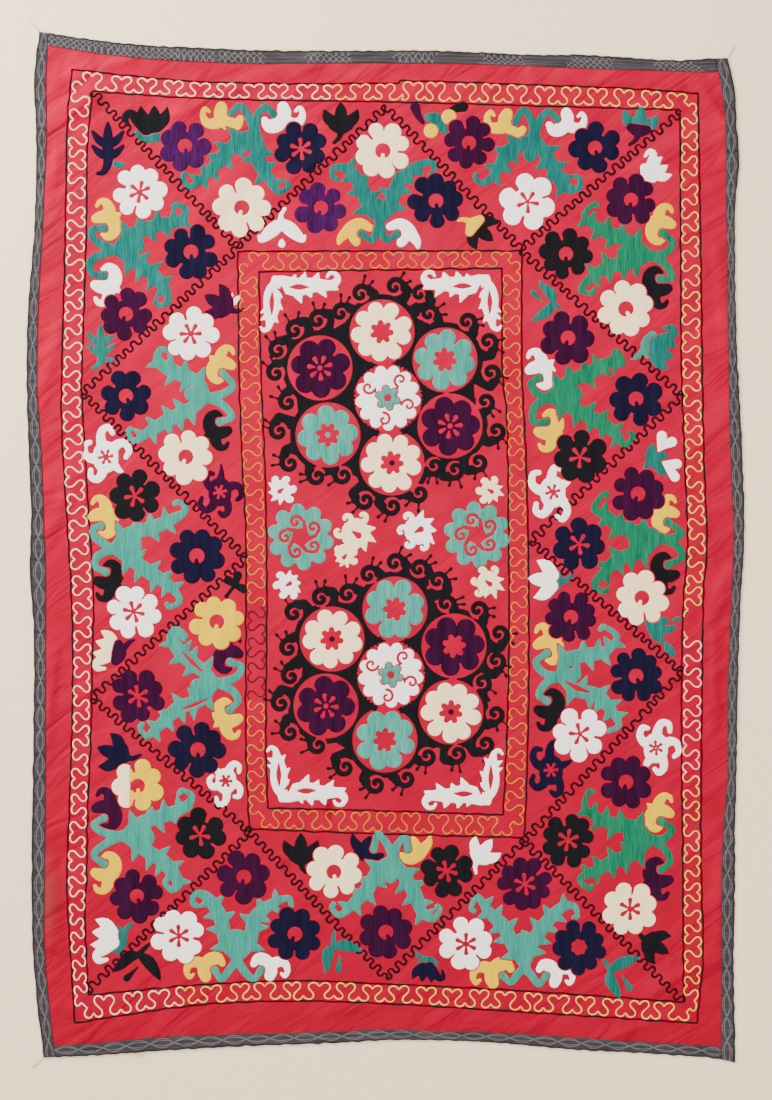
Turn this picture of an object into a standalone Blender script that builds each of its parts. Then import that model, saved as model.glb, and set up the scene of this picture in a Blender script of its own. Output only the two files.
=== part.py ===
"""An embroidered suzani cloth lying face up on a flat surface.

The cloth is one sheet with a woven tape sewn flat along each of its four edges and a short
string left at three of its corners. Metres, +Z up. X runs across the cloth, Y up its length,
and the origin is under the middle of its bounding box, on the surface that it lies on.
"""

import bmesh
import bpy
import numpy as np

MM = 0.001

# Thicknesses of the pieces, and the gap between pieces that touch.
CLOTH_THICKNESS = 1.5 * MM
TAPE_THICKNESS = 1.2 * MM
SEAT_GAP = 0.3 * MM
TAPE_OVERHANG = 1.5 * MM
STRING_DIAMETER = 2.4 * MM

# The mesh of the cloth: cells across and along, and how much they crowd towards the tapes,
# where the cloth is puckered.
CELLS_ACROSS = 42
CELLS_ALONG = 52
CROWDING = 0.45

# The cut outline, in millimetres from the middle of the cloth. The side edges are read down
# the cloth and the end edges across it, and each row gives the width of the tape there.
LEFT_EDGE = [
    # y, x, tape width
    (1131, -760, 20),
    (1038, -771, 26),
    (904, -767, 23),
    (719, -770, 18),
    (497, -786, 23),
    (387, -788, 23),
    (172, -782, 28),
    (62, -778, 28),
    (-59, -781, 35),
    (-154, -774, 28),
    (-425, -773, 27),
    (-730, -777, 29),
    (-891, -774, 26),
    (-1032, -762, 26),
    (-1125, -750, 25),
]
RIGHT_EDGE = [
    # y, x, tape width
    (1073, 754, 27),
    (988, 771, 28),
    (935, 773, 25),
    (838, 779, 29),
    (761, 771, 21),
    (660, 770, 18),
    (442, 774, 19),
    (224, 785, 26),
    (9, 790, 24),
    (-128, 782, 21),
    (-317, 776, 22),
    (-513, 773, 20),
    (-620, 770, 26),
    (-730, 770, 30),
    (-946, 767, 27),
    (-1082, 770, 31),
    (-1136, 770, 30),
]
TOP_EDGE = [
    # x, y, tape width
    (-760, 1131, 27),
    (-631, 1112, 29),
    (-521, 1101, 30),
    (-414, 1096, 31),
    (-306, 1091, 30),
    (-88, 1089, 27),
    (110, 1089, 28),
    (218, 1085, 26),
    (328, 1080, 25),
    (436, 1080, 30),
    (535, 1074, 27),
    (651, 1068, 24),
    (700, 1071, 29),
    (754, 1073, 29),
]
BOTTOM_EDGE = [
    # x, y, tape width
    (-750, -1125, 26),
    (-631, -1120, 27),
    (-521, -1112, 30),
    (-306, -1100, 27),
    (-88, -1092, 25),
    (2, -1087, 24),
    (110, -1087, 20),
    (218, -1091, 22),
    (436, -1109, 27),
    (543, -1114, 25),
    (651, -1121, 25),
    (733, -1128, 27),
    (770, -1136, 30),
]

# Soft ridges where the pulled cloth stands up off the surface, in millimetres.
RIDGES = [
    # from x, from y, to x, to y, half width, height
    (-735, 925, -640, 985, 34, 5.0),
    (-720, 1025, -560, 1070, 30, 4.0),
    (-745, 760, -700, 905, 30, 4.0),
    (-470, 930, -340, 1010, 34, 4.5),
    (-420, 700, -290, 850, 42, 4.0),
    (-250, 770, -110, 880, 36, 3.5),
    (-330, 1010, -150, 1062, 28, 4.0),
    (-90, 1020, -10, 1060, 28, 3.0),
    (330, 1035, 640, 1010, 30, 3.5),
    (690, 1020, 750, 930, 32, 4.5),
    (560, 820, 640, 890, 34, 2.5),
    (735, 640, 752, 430, 26, 3.0),
    (715, -160, 762, -60, 30, 4.5),
    (728, -210, 722, -400, 24, 3.0),
    (742, -690, 735, -860, 28, 4.5),
    (590, -985, 730, -900, 36, 6.0),
    (480, -1090, 620, -1035, 30, 4.5),
    (190, -1055, 330, -1060, 26, 3.0),
    (-590, -1030, -545, -1105, 28, 5.0),
    (-690, -1015, -640, -1085, 30, 4.5),
    (-738, -700, -722, -880, 30, 4.5),
    (-735, -230, -745, -430, 28, 4.0),
    (-745, 20, -700, 110, 30, 3.5),
    (-755, 330, -715, 480, 28, 3.5),
    (-560, 380, -470, 520, 40, 2.5),
    (-380, -240, -300, -120, 40, 2.5),
    (330, -330, 420, -210, 38, 2.5),
    (-150, -1030, -60, -1010, 30, 2.5),
    (470, 330, 560, 470, 40, 2.5),
]

# Where each corner string runs from the tip of its corner, in millimetres.
STRING_ROUTES = {
    # name: (corner of the mesh, points right and up from that corner)
    "corner_string_top_left": (
        (0, 0),
        [(-0.3, 0.3), (-4.5, 5.5), (-9.5, 11), (-14, 16.5), (-18.5, 21.5), (-22, 25.5)],
    ),
    "corner_string_top_right": (
        (-1, 0),
        [(0.3, 0.3), (3, 6), (5, 11.5), (7.5, 17), (11, 22.5), (15, 28)],
    ),
    "corner_string_bottom_left": (
        (0, -1),
        [(-0.3, -0.3), (-6, -4), (-11.5, -8.5), (-16, -13), (-21, -17), (-26, -20)],
    ),
}

# The columns of an edge table that hold the outline's place and the tape's width.
PLACE, WIDTH = 1, 2

CLOTH_RED = (0.80, 0.09, 0.14, 1)
TAPE_CHARCOAL = (0.06, 0.06, 0.07, 1)
STRING_CREAM = (0.72, 0.62, 0.48, 1)


def clear_scene():
    for old in list(bpy.data.objects):
        bpy.data.objects.remove(old)


def fabric(name, colour, roughness):
    material = bpy.data.materials.new(name)
    material.use_nodes = True
    shader = material.node_tree.nodes["Principled BSDF"]
    shader.inputs["Base Color"].default_value = colour
    shader.inputs["Roughness"].default_value = roughness
    shader.inputs["Metallic"].default_value = 0.0
    return material


def smooth_curve(rows, column):
    """A smooth function through one column of an edge table, by cubic Hermite pieces whose
    slopes are the differences to the neighbouring rows."""
    table = np.array(sorted(rows), float) * MM
    along = table[:, 0]
    value = table[:, column]
    slope = np.gradient(value, along)

    def at(where):
        where = np.clip(where, along[0], along[-1])
        row = np.clip(np.searchsorted(along, where) - 1, 0, len(along) - 2)
        step = along[row + 1] - along[row]
        t = (where - along[row]) / step
        return (
            (2 * t**3 - 3 * t**2 + 1) * value[row]
            + (t**3 - 2 * t**2 + t) * step * slope[row]
            + (3 * t**2 - 2 * t**3) * value[row + 1]
            + (t**3 - t**2) * step * slope[row + 1]
        )

    return at


def inner_corner(side, side_width, end, end_width, start, inward, down):
    """Where the inner edges of a side tape and an end tape cross, found by turns."""
    x, y = start
    for _ in range(12):
        x = side(y) + inward * side_width(y)
        y = end(x) + down * end_width(x)
    return np.array([x, y])


def crowded(cells):
    """Cell lines from 0 to 1 that lie closer together at both ends."""
    t = np.linspace(0, 1, cells + 1)
    return t - CROWDING * np.sin(2 * np.pi * t) / (2 * np.pi)


def coons_patch(left, right, top, bottom):
    """Points of the patch between four boundary curves, [column, row] from the top left."""
    u = crowded(len(top) - 1)[:, None, None]
    v = crowded(len(left) - 1)[None, :, None]
    across = (1 - u) * left[None] + u * right[None]
    along = (1 - v) * top[:, None] + v * bottom[:, None]
    corners = (
        (1 - u) * (1 - v) * top[0]
        + u * (1 - v) * top[-1]
        + (1 - u) * v * bottom[0]
        + u * v * bottom[-1]
    )
    return across + along - corners


def plan_of_the_cloth():
    """Plan positions of the mesh, [column, row], with the outermost ring under the tapes."""
    left, left_width = smooth_curve(LEFT_EDGE, PLACE), smooth_curve(LEFT_EDGE, WIDTH)
    right, right_width = smooth_curve(RIGHT_EDGE, PLACE), smooth_curve(RIGHT_EDGE, WIDTH)
    top, top_width = smooth_curve(TOP_EDGE, PLACE), smooth_curve(TOP_EDGE, WIDTH)
    bottom, bottom_width = smooth_curve(BOTTOM_EDGE, PLACE), smooth_curve(BOTTOM_EDGE, WIDTH)

    top_left = np.array(LEFT_EDGE[0][1::-1]) * MM
    top_right = np.array(RIGHT_EDGE[0][1::-1]) * MM
    bottom_left = np.array(LEFT_EDGE[-1][1::-1]) * MM
    bottom_right = np.array(RIGHT_EDGE[-1][1::-1]) * MM

    a = inner_corner(left, left_width, top, top_width, top_left, 1, -1)
    b = inner_corner(right, right_width, top, top_width, top_right, -1, -1)
    c = inner_corner(left, left_width, bottom, bottom_width, bottom_left, 1, 1)
    d = inner_corner(right, right_width, bottom, bottom_width, bottom_right, -1, 1)

    u, v = crowded(CELLS_ACROSS - 2), crowded(CELLS_ALONG - 2)
    left_y, right_y = a[1] + v * (c[1] - a[1]), b[1] + v * (d[1] - b[1])
    top_x, bottom_x = a[0] + u * (b[0] - a[0]), c[0] + u * (d[0] - c[0])
    inside = coons_patch(
        np.stack([left(left_y) + left_width(left_y), left_y], 1),
        np.stack([right(right_y) - right_width(right_y), right_y], 1),
        np.stack([top_x, top(top_x) - top_width(top_x)], 1),
        np.stack([bottom_x, bottom(bottom_x) + bottom_width(bottom_x)], 1),
    )

    plan = np.empty((CELLS_ACROSS + 1, CELLS_ALONG + 1, 2))
    plan[1:-1, 1:-1] = inside
    plan[0, 1:-1] = np.stack([left(left_y), left_y], 1)
    plan[-1, 1:-1] = np.stack([right(right_y), right_y], 1)
    plan[1:-1, 0] = np.stack([top_x, top(top_x)], 1)
    plan[1:-1, -1] = np.stack([bottom_x, bottom(bottom_x)], 1)
    plan[0, 0], plan[-1, 0] = top_left, top_right
    plan[0, -1], plan[-1, -1] = bottom_left, bottom_right
    return plan


def lift(plan):
    """How far the underside stands off the surface: a raised-cosine ridge round each segment."""
    height = np.zeros(plan.shape[:-1])
    for from_x, from_y, to_x, to_y, half_width, rise in RIDGES:
        start = np.array([from_x, from_y]) * MM
        run = np.array([to_x, to_y]) * MM - start
        share = np.clip(((plan - start) @ run) / (run @ run), 0, 1)
        away = np.linalg.norm(plan - start - share[..., None] * run, axis=-1)
        reach = np.minimum(away / (half_width * MM), 1)
        height += rise * MM * (1 + np.cos(np.pi * reach)) / 2
    return height


def sheet(name, points, thickness, material, collection):
    """A sheet whose underside is points[column, row], thickened upwards by Solidify."""
    columns, rows = points.shape[0] - 1, points.shape[1] - 1
    mesh = bpy.data.meshes.new(name)
    grid = bmesh.new()
    bmesh.ops.create_grid(grid, x_segments=columns, y_segments=rows, size=1)
    for vertex in grid.verts:
        column = round((vertex.co.x + 1) / 2 * columns)
        row = round((1 - vertex.co.y) / 2 * rows)
        vertex.co = points[column, row]
    grid.to_mesh(mesh)
    grid.free()
    mesh.materials.append(material)
    made = bpy.data.objects.new(name, mesh)
    collection.objects.link(made)
    wall = made.modifiers.new("thickness", "SOLIDIFY")
    wall.thickness = thickness
    wall.offset = 1
    return made


def tape(name, underside, material, collection):
    """A strip of tape sewn over the cloth, lying the seat gap above it."""
    points = underside.copy()
    points[..., 2] += CLOTH_THICKNESS + SEAT_GAP
    return sheet(name, points, TAPE_THICKNESS, material, collection)


def string(name, corner, offsets, material, collection):
    """A short end of twine lying on the surface, from the tip of a corner outwards."""
    line = bpy.data.curves.new(name, "CURVE")
    line.dimensions = "3D"
    line.bevel_depth = STRING_DIAMETER / 2
    line.bevel_resolution = 2
    line.use_fill_caps = True
    route = line.splines.new("POLY")
    route.points.add(len(offsets) - 1)
    for point, (right, up) in zip(route.points, offsets):
        point.co = (corner[0] + right * MM, corner[1] + up * MM, STRING_DIAMETER / 2, 1)
    made = bpy.data.objects.new(name, line)
    made.data.materials.append(material)
    collection.objects.link(made)
    return made


def main():
    clear_scene()
    collection = bpy.data.collections.new("suzani")
    bpy.context.scene.collection.children.link(collection)

    red = fabric("ground_red", CLOTH_RED, 0.85)
    charcoal = fabric("tape_charcoal", TAPE_CHARCOAL, 0.8)
    cream = fabric("string_cream", STRING_CREAM, 0.9)

    plan = plan_of_the_cloth()
    height = lift(plan)
    plan -= (plan.min(axis=(0, 1)) + plan.max(axis=(0, 1))) / 2
    outline = np.concatenate([plan, height[..., None]], axis=-1)

    cloth = outline.copy()
    cloth[0, :, 0] += TAPE_OVERHANG
    cloth[-1, :, 0] -= TAPE_OVERHANG
    cloth[:, 0, 1] -= TAPE_OVERHANG
    cloth[:, -1, 1] += TAPE_OVERHANG
    sheet("ground_cloth", cloth, CLOTH_THICKNESS, red, collection)

    tape("tape_left", outline[:2], charcoal, collection)
    tape("tape_right", outline[-2:], charcoal, collection)
    between = outline[1:-1].copy()
    between[0, :, 0] += SEAT_GAP
    between[-1, :, 0] -= SEAT_GAP
    tape("tape_top", between[:, :2], charcoal, collection)
    tape("tape_bottom", between[:, -2:], charcoal, collection)

    for name, (corner, offsets) in STRING_ROUTES.items():
        string(name, outline[corner], offsets, cream, collection)


main()
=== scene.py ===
"""The finished look of an embroidered suzani cloth that lies face up on a pale floor.

Every place in the pattern is given in pixels of the photograph, right and down from its top
left corner, and one pixel is 2.2 mm of cloth. Everything else is in millimetres or metres.
"""

import bpy
import numpy as np
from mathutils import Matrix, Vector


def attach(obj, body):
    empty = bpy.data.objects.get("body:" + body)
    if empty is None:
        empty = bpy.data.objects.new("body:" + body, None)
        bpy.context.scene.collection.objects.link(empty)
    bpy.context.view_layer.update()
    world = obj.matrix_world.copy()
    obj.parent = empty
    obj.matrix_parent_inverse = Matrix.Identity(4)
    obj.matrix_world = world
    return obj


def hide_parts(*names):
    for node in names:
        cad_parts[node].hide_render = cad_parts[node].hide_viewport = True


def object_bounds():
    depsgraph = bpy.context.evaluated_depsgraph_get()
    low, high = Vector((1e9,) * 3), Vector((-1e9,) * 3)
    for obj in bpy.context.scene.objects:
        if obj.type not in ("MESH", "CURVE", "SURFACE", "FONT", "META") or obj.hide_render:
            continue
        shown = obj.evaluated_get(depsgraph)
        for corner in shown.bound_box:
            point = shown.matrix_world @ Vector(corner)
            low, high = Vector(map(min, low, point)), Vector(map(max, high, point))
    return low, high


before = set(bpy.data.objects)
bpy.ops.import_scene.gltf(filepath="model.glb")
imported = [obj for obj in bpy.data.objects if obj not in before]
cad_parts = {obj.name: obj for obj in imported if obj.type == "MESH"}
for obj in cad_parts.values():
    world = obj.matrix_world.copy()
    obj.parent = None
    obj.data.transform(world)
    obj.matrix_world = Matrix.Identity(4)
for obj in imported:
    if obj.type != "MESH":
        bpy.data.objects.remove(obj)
cad_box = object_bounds()

MM = 0.001

# The floor, the light and the camera. A plain pale floor, one broad soft lamp from the upper
# left, a weaker one from the lower right, and the camera straight above the cloth.
FLOOR_SIZE = 14.0
FLOOR_COLOUR = (0.92, 0.73, 0.47, 1)
CAMERA_HEIGHT = 7.0
VIEW_HEIGHT = 2.42
VIEW_MIDDLE = (0.0012, -0.0064)
SENSOR_HEIGHT = 36.0

bpy.ops.mesh.primitive_plane_add(size=FLOOR_SIZE, location=(0, 0, -0.0002))
floor = bpy.context.object
floor.name = "floor"
floor_finish = bpy.data.materials.new("pale_floor")
floor_finish.use_nodes = True
floor_shader = floor_finish.node_tree.nodes["Principled BSDF"]
floor_shader.inputs["Base Color"].default_value = FLOOR_COLOUR
floor_shader.inputs["Roughness"].default_value = 0.9
floor.data.materials.append(floor_finish)


def soft_lamp(name, place, size, power):
    """A square area lamp at a place, turned to face the middle of the cloth."""
    light = bpy.data.lights.new(name, "AREA")
    light.size = size
    light.energy = power
    lamp = bpy.data.objects.new(name, light)
    lamp.location = place
    direction = -lamp.location
    lamp.rotation_euler = direction.to_track_quat("-Z", "Y").to_euler()
    bpy.context.collection.objects.link(lamp)


soft_lamp("window_light", (-3.3, 2.9, 2.0), 2.0, 560)
soft_lamp("fill_light", (2.6, -2.2, 4.0), 4.0, 150)

sky = bpy.data.worlds.new("pale_sky")
sky.use_nodes = True
sky.node_tree.nodes["Background"].inputs["Color"].default_value = (1.0, 0.98, 0.95, 1)
sky.node_tree.nodes["Background"].inputs["Strength"].default_value = 1.25
bpy.context.scene.world = sky

camera_data = bpy.data.cameras.new("camera")
camera_data.sensor_fit = "VERTICAL"
camera_data.sensor_height = SENSOR_HEIGHT
camera_data.lens = SENSOR_HEIGHT * CAMERA_HEIGHT / VIEW_HEIGHT
camera_data.clip_end = 50
camera = bpy.data.objects.new("camera", camera_data)
camera.location = (*VIEW_MIDDLE, CAMERA_HEIGHT)
bpy.context.collection.objects.link(camera)
bpy.context.scene.camera = camera

# The ground cloth. One sheet of soft red cotton, 1.5 mm thick with its embroidery threads
# behind, lying flat with the puckers and drag lines that its sewn edges pull into it.
CLOTH_THICKNESS = 1.5 * MM
TAPE_OVERHANG = 1.5 * MM
CLOTH_CELLS = (228, 324)
CROWDING = 0.25

LEFT_EDGE = [
    # y, x, tape width
    (1131, -760, 20),
    (1038, -771, 26),
    (904, -767, 23),
    (719, -770, 18),
    (497, -786, 23),
    (387, -788, 23),
    (172, -782, 28),
    (62, -778, 28),
    (-59, -781, 35),
    (-154, -774, 28),
    (-425, -773, 27),
    (-730, -777, 29),
    (-891, -774, 26),
    (-1032, -762, 26),
    (-1125, -750, 25),
]
RIGHT_EDGE = [
    # y, x, tape width
    (1073, 754, 27),
    (988, 771, 28),
    (935, 773, 25),
    (838, 779, 29),
    (761, 771, 21),
    (660, 770, 18),
    (442, 774, 19),
    (224, 785, 26),
    (9, 790, 24),
    (-128, 782, 21),
    (-317, 776, 22),
    (-513, 773, 20),
    (-620, 770, 26),
    (-730, 770, 30),
    (-946, 767, 27),
    (-1082, 770, 31),
    (-1136, 770, 30),
]
TOP_EDGE = [
    # x, y, tape width
    (-760, 1131, 27),
    (-631, 1112, 29),
    (-521, 1101, 30),
    (-414, 1096, 31),
    (-306, 1091, 30),
    (-88, 1089, 27),
    (110, 1089, 28),
    (218, 1085, 26),
    (328, 1080, 25),
    (436, 1080, 30),
    (535, 1074, 27),
    (651, 1068, 24),
    (700, 1071, 29),
    (754, 1073, 29),
]
BOTTOM_EDGE = [
    # x, y, tape width
    (-750, -1125, 26),
    (-631, -1120, 27),
    (-521, -1112, 30),
    (-306, -1100, 27),
    (-88, -1092, 25),
    (2, -1087, 24),
    (110, -1087, 20),
    (218, -1091, 22),
    (436, -1109, 27),
    (543, -1114, 25),
    (651, -1121, 25),
    (733, -1128, 27),
    (770, -1136, 30),
]

RIDGES = [
    # from x, from y, to x, to y, half width, height: the folds that the solid has too
    (-735, 925, -640, 985, 34, 5.0),
    (-720, 1025, -560, 1070, 30, 4.0),
    (-745, 760, -700, 905, 30, 4.0),
    (-470, 930, -340, 1010, 34, 4.5),
    (-420, 700, -290, 850, 42, 4.0),
    (-250, 770, -110, 880, 36, 3.5),
    (-330, 1010, -150, 1062, 28, 4.0),
    (-90, 1020, -10, 1060, 28, 3.0),
    (330, 1035, 640, 1010, 30, 3.5),
    (690, 1020, 750, 930, 32, 4.5),
    (560, 820, 640, 890, 34, 2.5),
    (735, 640, 752, 430, 26, 3.0),
    (715, -160, 762, -60, 30, 4.5),
    (728, -210, 722, -400, 24, 3.0),
    (742, -690, 735, -860, 28, 4.5),
    (590, -985, 730, -900, 36, 6.0),
    (480, -1090, 620, -1035, 30, 4.5),
    (190, -1055, 330, -1060, 26, 3.0),
    (-590, -1030, -545, -1105, 28, 5.0),
    (-690, -1015, -640, -1085, 30, 4.5),
    (-738, -700, -722, -880, 30, 4.5),
    (-735, -230, -745, -430, 28, 4.0),
    (-745, 20, -700, 110, 30, 3.5),
    (-755, 330, -715, 480, 28, 3.5),
    (-560, 380, -470, 520, 40, 2.5),
    (-380, -240, -300, -120, 40, 2.5),
    (330, -330, 420, -210, 38, 2.5),
    (-150, -1030, -60, -1010, 30, 2.5),
    (470, 330, 560, 470, 40, 2.5),
]
CREASES = [
    # from x, from y, to x, to y, half width, height: the finer drag lines
    (-733, 950, -691, 977, 11, 1.6),
    (-722, 1034, -717, 1065, 11, 1.5),
    (-686, 1050, -560, 1066, 12, 1.6),
    (-466, 944, -363, 1001, 12, 1.6),
    (-557, 851, -535, 867, 12, 1.2),
    (-722, 904, -724, 827, 12, 1.7),
    (-389, 1025, -323, 1052, 11, 1.6),
    (-312, 1027, -251, 1047, 11, 1.6),
    (-211, 1025, -154, 1054, 11, 1.6),
    (-227, 801, -121, 860, 14, 1.2),
    (-407, 748, -308, 867, 16, 1.2),
    (-57, 1030, -15, 1054, 11, 1.5),
    (-18, 1060, -18, 1023, 8, 1.2),
    (700, 1001, 739, 946, 12, 1.8),
    (433, 1021, 546, 1016, 11, 1.5),
    (715, -167, 749, -121, 12, 1.8),
    (737, -92, 751, -57, 10, 1.6),
    (723, -187, 723, -319, 10, 1.3),
    (722, -321, 741, -367, 10, 1.3),
    (-584, -1040, -557, -1087, 12, 1.8),
    (-654, -1047, -646, -1087, 12, 1.6),
    (-733, -779, -733, -889, 11, 1.6),
    (-497, -1047, -477, -1067, 11, 1.5),
    (512, -1074, 578, -1049, 12, 1.8),
    (596, -980, 635, -953, 12, 1.8),
    (635, -953, 686, -926, 12, 1.8),
    (686, -926, 732, -914, 12, 1.8),
    (614, -781, 614, -871, 10, 1.0),
    (626, -871, 626, -992, 10, 1.0),
    (-718, -229, -740, -370, 12, 1.6),
]


def smooth_curve(rows, column):
    """A smooth function through one column of an edge table, by cubic Hermite pieces whose
    slopes are the differences to the neighbouring rows."""
    table = np.array(sorted(rows), float) * MM
    along = table[:, 0]
    value = table[:, column]
    slope = np.gradient(value, along)

    def at(where):
        where = np.clip(where, along[0], along[-1])
        row = np.clip(np.searchsorted(along, where) - 1, 0, len(along) - 2)
        step = along[row + 1] - along[row]
        t = (where - along[row]) / step
        return (
            (2 * t**3 - 3 * t**2 + 1) * value[row]
            + (t**3 - 2 * t**2 + t) * step * slope[row]
            + (3 * t**2 - 2 * t**3) * value[row + 1]
            + (t**3 - t**2) * step * slope[row + 1]
        )

    return at


left, left_width = smooth_curve(LEFT_EDGE, 1), smooth_curve(LEFT_EDGE, 2)
right, right_width = smooth_curve(RIGHT_EDGE, 1), smooth_curve(RIGHT_EDGE, 2)
top, top_width = smooth_curve(TOP_EDGE, 1), smooth_curve(TOP_EDGE, 2)
bottom, bottom_width = smooth_curve(BOTTOM_EDGE, 1), smooth_curve(BOTTOM_EDGE, 2)
top_left, bottom_left = [np.array(LEFT_EDGE[k][1::-1]) * MM for k in (0, -1)]
top_right, bottom_right = [np.array(RIGHT_EDGE[k][1::-1]) * MM for k in (0, -1)]

# The middle of the outline, which the model has at its origin.
side_reach = np.linspace(-1.1, 1.07, 400)
MIDDLE = np.array(
    [
        (left(side_reach).min() + right(side_reach).max()) / 2,
        (top_left[1] + bottom_right[1]) / 2,
    ]
)


def lift(points):
    """Height of the underside over the floor at plan points: for each ridge or crease a raised
    cosine of the distance to its segment, all added up."""
    height = np.zeros(points.shape[:-1])
    for from_x, from_y, to_x, to_y, half_width, rise in RIDGES + CREASES:
        start = np.array([from_x, from_y]) * MM - MIDDLE
        run = np.array([to_x - from_x, to_y - from_y]) * MM
        share = np.clip(((points - start) @ run) / (run @ run), 0, 1)
        away = np.linalg.norm(points - start - share[..., None] * run, axis=-1)
        reach = np.minimum(away / (half_width * MM), 1)
        height += rise * MM * (1 + np.cos(np.pi * reach)) / 2
    return height


def coons_patch(left_line, right_line, top_line, bottom_line, u, v):
    """Points of the patch between four boundary curves, [column, row] from the top left."""
    u = u[:, None, None]
    v = v[None, :, None]
    across = (1 - u) * left_line[None] + u * right_line[None]
    along = (1 - v) * top_line[:, None] + v * bottom_line[:, None]
    corners = (
        (1 - u) * (1 - v) * top_line[0]
        + u * (1 - v) * top_line[-1]
        + (1 - u) * v * bottom_line[0]
        + u * v * bottom_line[-1]
    )
    return across + along - corners


def mesh_object(name, vertices, faces, material, uv=None):
    """An object from arrays of vertices and of faces that all have the same number of corners,
    shaded smooth, with a UV row for each vertex where given."""
    mesh = bpy.data.meshes.new(name)
    corner_count = faces.shape[1]
    mesh.vertices.add(len(vertices))
    mesh.vertices.foreach_set("co", np.ascontiguousarray(vertices, np.float32).ravel())
    mesh.loops.add(faces.size)
    mesh.loops.foreach_set("vertex_index", faces.astype(np.int32).ravel())
    mesh.polygons.add(len(faces))
    mesh.polygons.foreach_set("loop_start", np.arange(0, faces.size, corner_count, dtype=np.int32))
    mesh.update(calc_edges=True)
    mesh.validate()
    mesh.polygons.foreach_set("use_smooth", np.ones(len(faces), bool))
    if uv is not None:
        layer = mesh.uv_layers.new(name="thread")
        layer.data.foreach_set("uv", uv[faces.ravel()].astype(np.float32).ravel())
    mesh.materials.append(material)
    made = bpy.data.objects.new(name, mesh)
    bpy.context.collection.objects.link(made)
    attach(made, "root")
    return made


def grid_faces(columns, rows, first=0, flip=False):
    """Corner numbers of the quads of a grid whose vertices are stored column by column."""
    corner = (np.arange(columns - 1)[:, None] * rows + np.arange(rows - 1)[None]).ravel() + first
    faces = np.stack([corner, corner + 1, corner + rows + 1, corner + rows], 1)
    return faces[:, ::-1] if flip else faces


def srgb(red, green, blue):
    """A shader colour from screen values out of 255."""
    screen = np.array([red, green, blue]) / 255
    return (*np.where(screen > 0.04045, ((screen + 0.055) / 1.055) ** 2.4, screen / 12.92), 1)


class Finish:
    """A cloth material whose nodes are added one line at a time."""

    def __init__(self, name, roughness, sheen=0.0):
        self.material = bpy.data.materials.new(name)
        self.material.use_nodes = True
        self.tree = self.material.node_tree
        self.shader = self.tree.nodes["Principled BSDF"]
        self.shader.inputs["Roughness"].default_value = roughness
        self.shader.inputs["Specular IOR Level"].default_value = 0.25
        self.shader.inputs["Sheen Weight"].default_value = sheen
        self.places = self.add("TexCoord")

    def add(self, kind, settings=(), **wires):
        """A node of a kind, with its settings, and each input either wired or given a value."""
        node = self.tree.nodes.new("ShaderNode" + kind)
        for setting, value in dict(settings).items():
            setattr(node, setting, value)
        for socket, value in wires.items():
            socket = node.inputs[int(socket[1:])] if socket[1:].isdigit() else node.inputs[socket]
            if isinstance(value, bpy.types.NodeSocket):
                self.tree.links.new(value, socket)
            else:
                socket.default_value = value
        return node.outputs

    def noise(self, scale, detail=2.0, roughness=0.5, source="Object"):
        """Noise on the piece, with its own scale along each axis, from 0 to 1."""
        spread = self.add("Mapping", _0=self.places[source])
        spread[0].node.inputs["Scale"].default_value = scale
        cloud = self.add("TexNoise", Vector=spread[0], Scale=1.0, Detail=detail, Roughness=roughness)
        return cloud["Fac"]

    def between(self, factor, low, high, start=0.0, end=1.0):
        """A colour that goes from low to high as the factor goes from start to end."""
        ramp = self.add("ValToRGB", Fac=factor)[0].node
        ramp.color_ramp.elements[0].position = start
        ramp.color_ramp.elements[1].position = end
        ramp.color_ramp.elements[0].color = low
        ramp.color_ramp.elements[1].color = high
        return ramp.outputs["Color"]

    def mix(self, factor, first, second, blend="MIX"):
        mixed = self.add("Mix", {"data_type": "RGBA", "blend_type": blend}, _0=factor)
        for number, value in ((6, first), (7, second)):
            socket = mixed[0].node.inputs[number]
            if isinstance(value, bpy.types.NodeSocket):
                self.tree.links.new(value, socket)
            else:
                socket.default_value = value
        return mixed[2]

    def sum(self, operation, first, second=0.5, third=0.5):
        return self.add("Math", {"operation": operation}, _0=first, _1=second, _2=third)[0]

    def scaled(self, value, source, target, settings=()):
        """A value carried from one range to another, and held at its ends."""
        node = self.add("MapRange", settings, Value=value)[0].node
        for socket, number in zip(("From Min", "From Max", "To Min", "To Max"), (*source, *target)):
            node.inputs[socket].default_value = number
        return node.outputs[0]

    def weave(self, height, distance, strength=1.0):
        """Bump of the surface by a height from 0 to 1 over a distance in metres."""
        bump = self.add("Bump", Height=height, Distance=distance, Strength=strength)
        self.tree.links.new(bump["Normal"], self.shader.inputs["Normal"])

    def colour(self, socket):
        self.tree.links.new(socket, self.shader.inputs["Base Color"])


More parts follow.
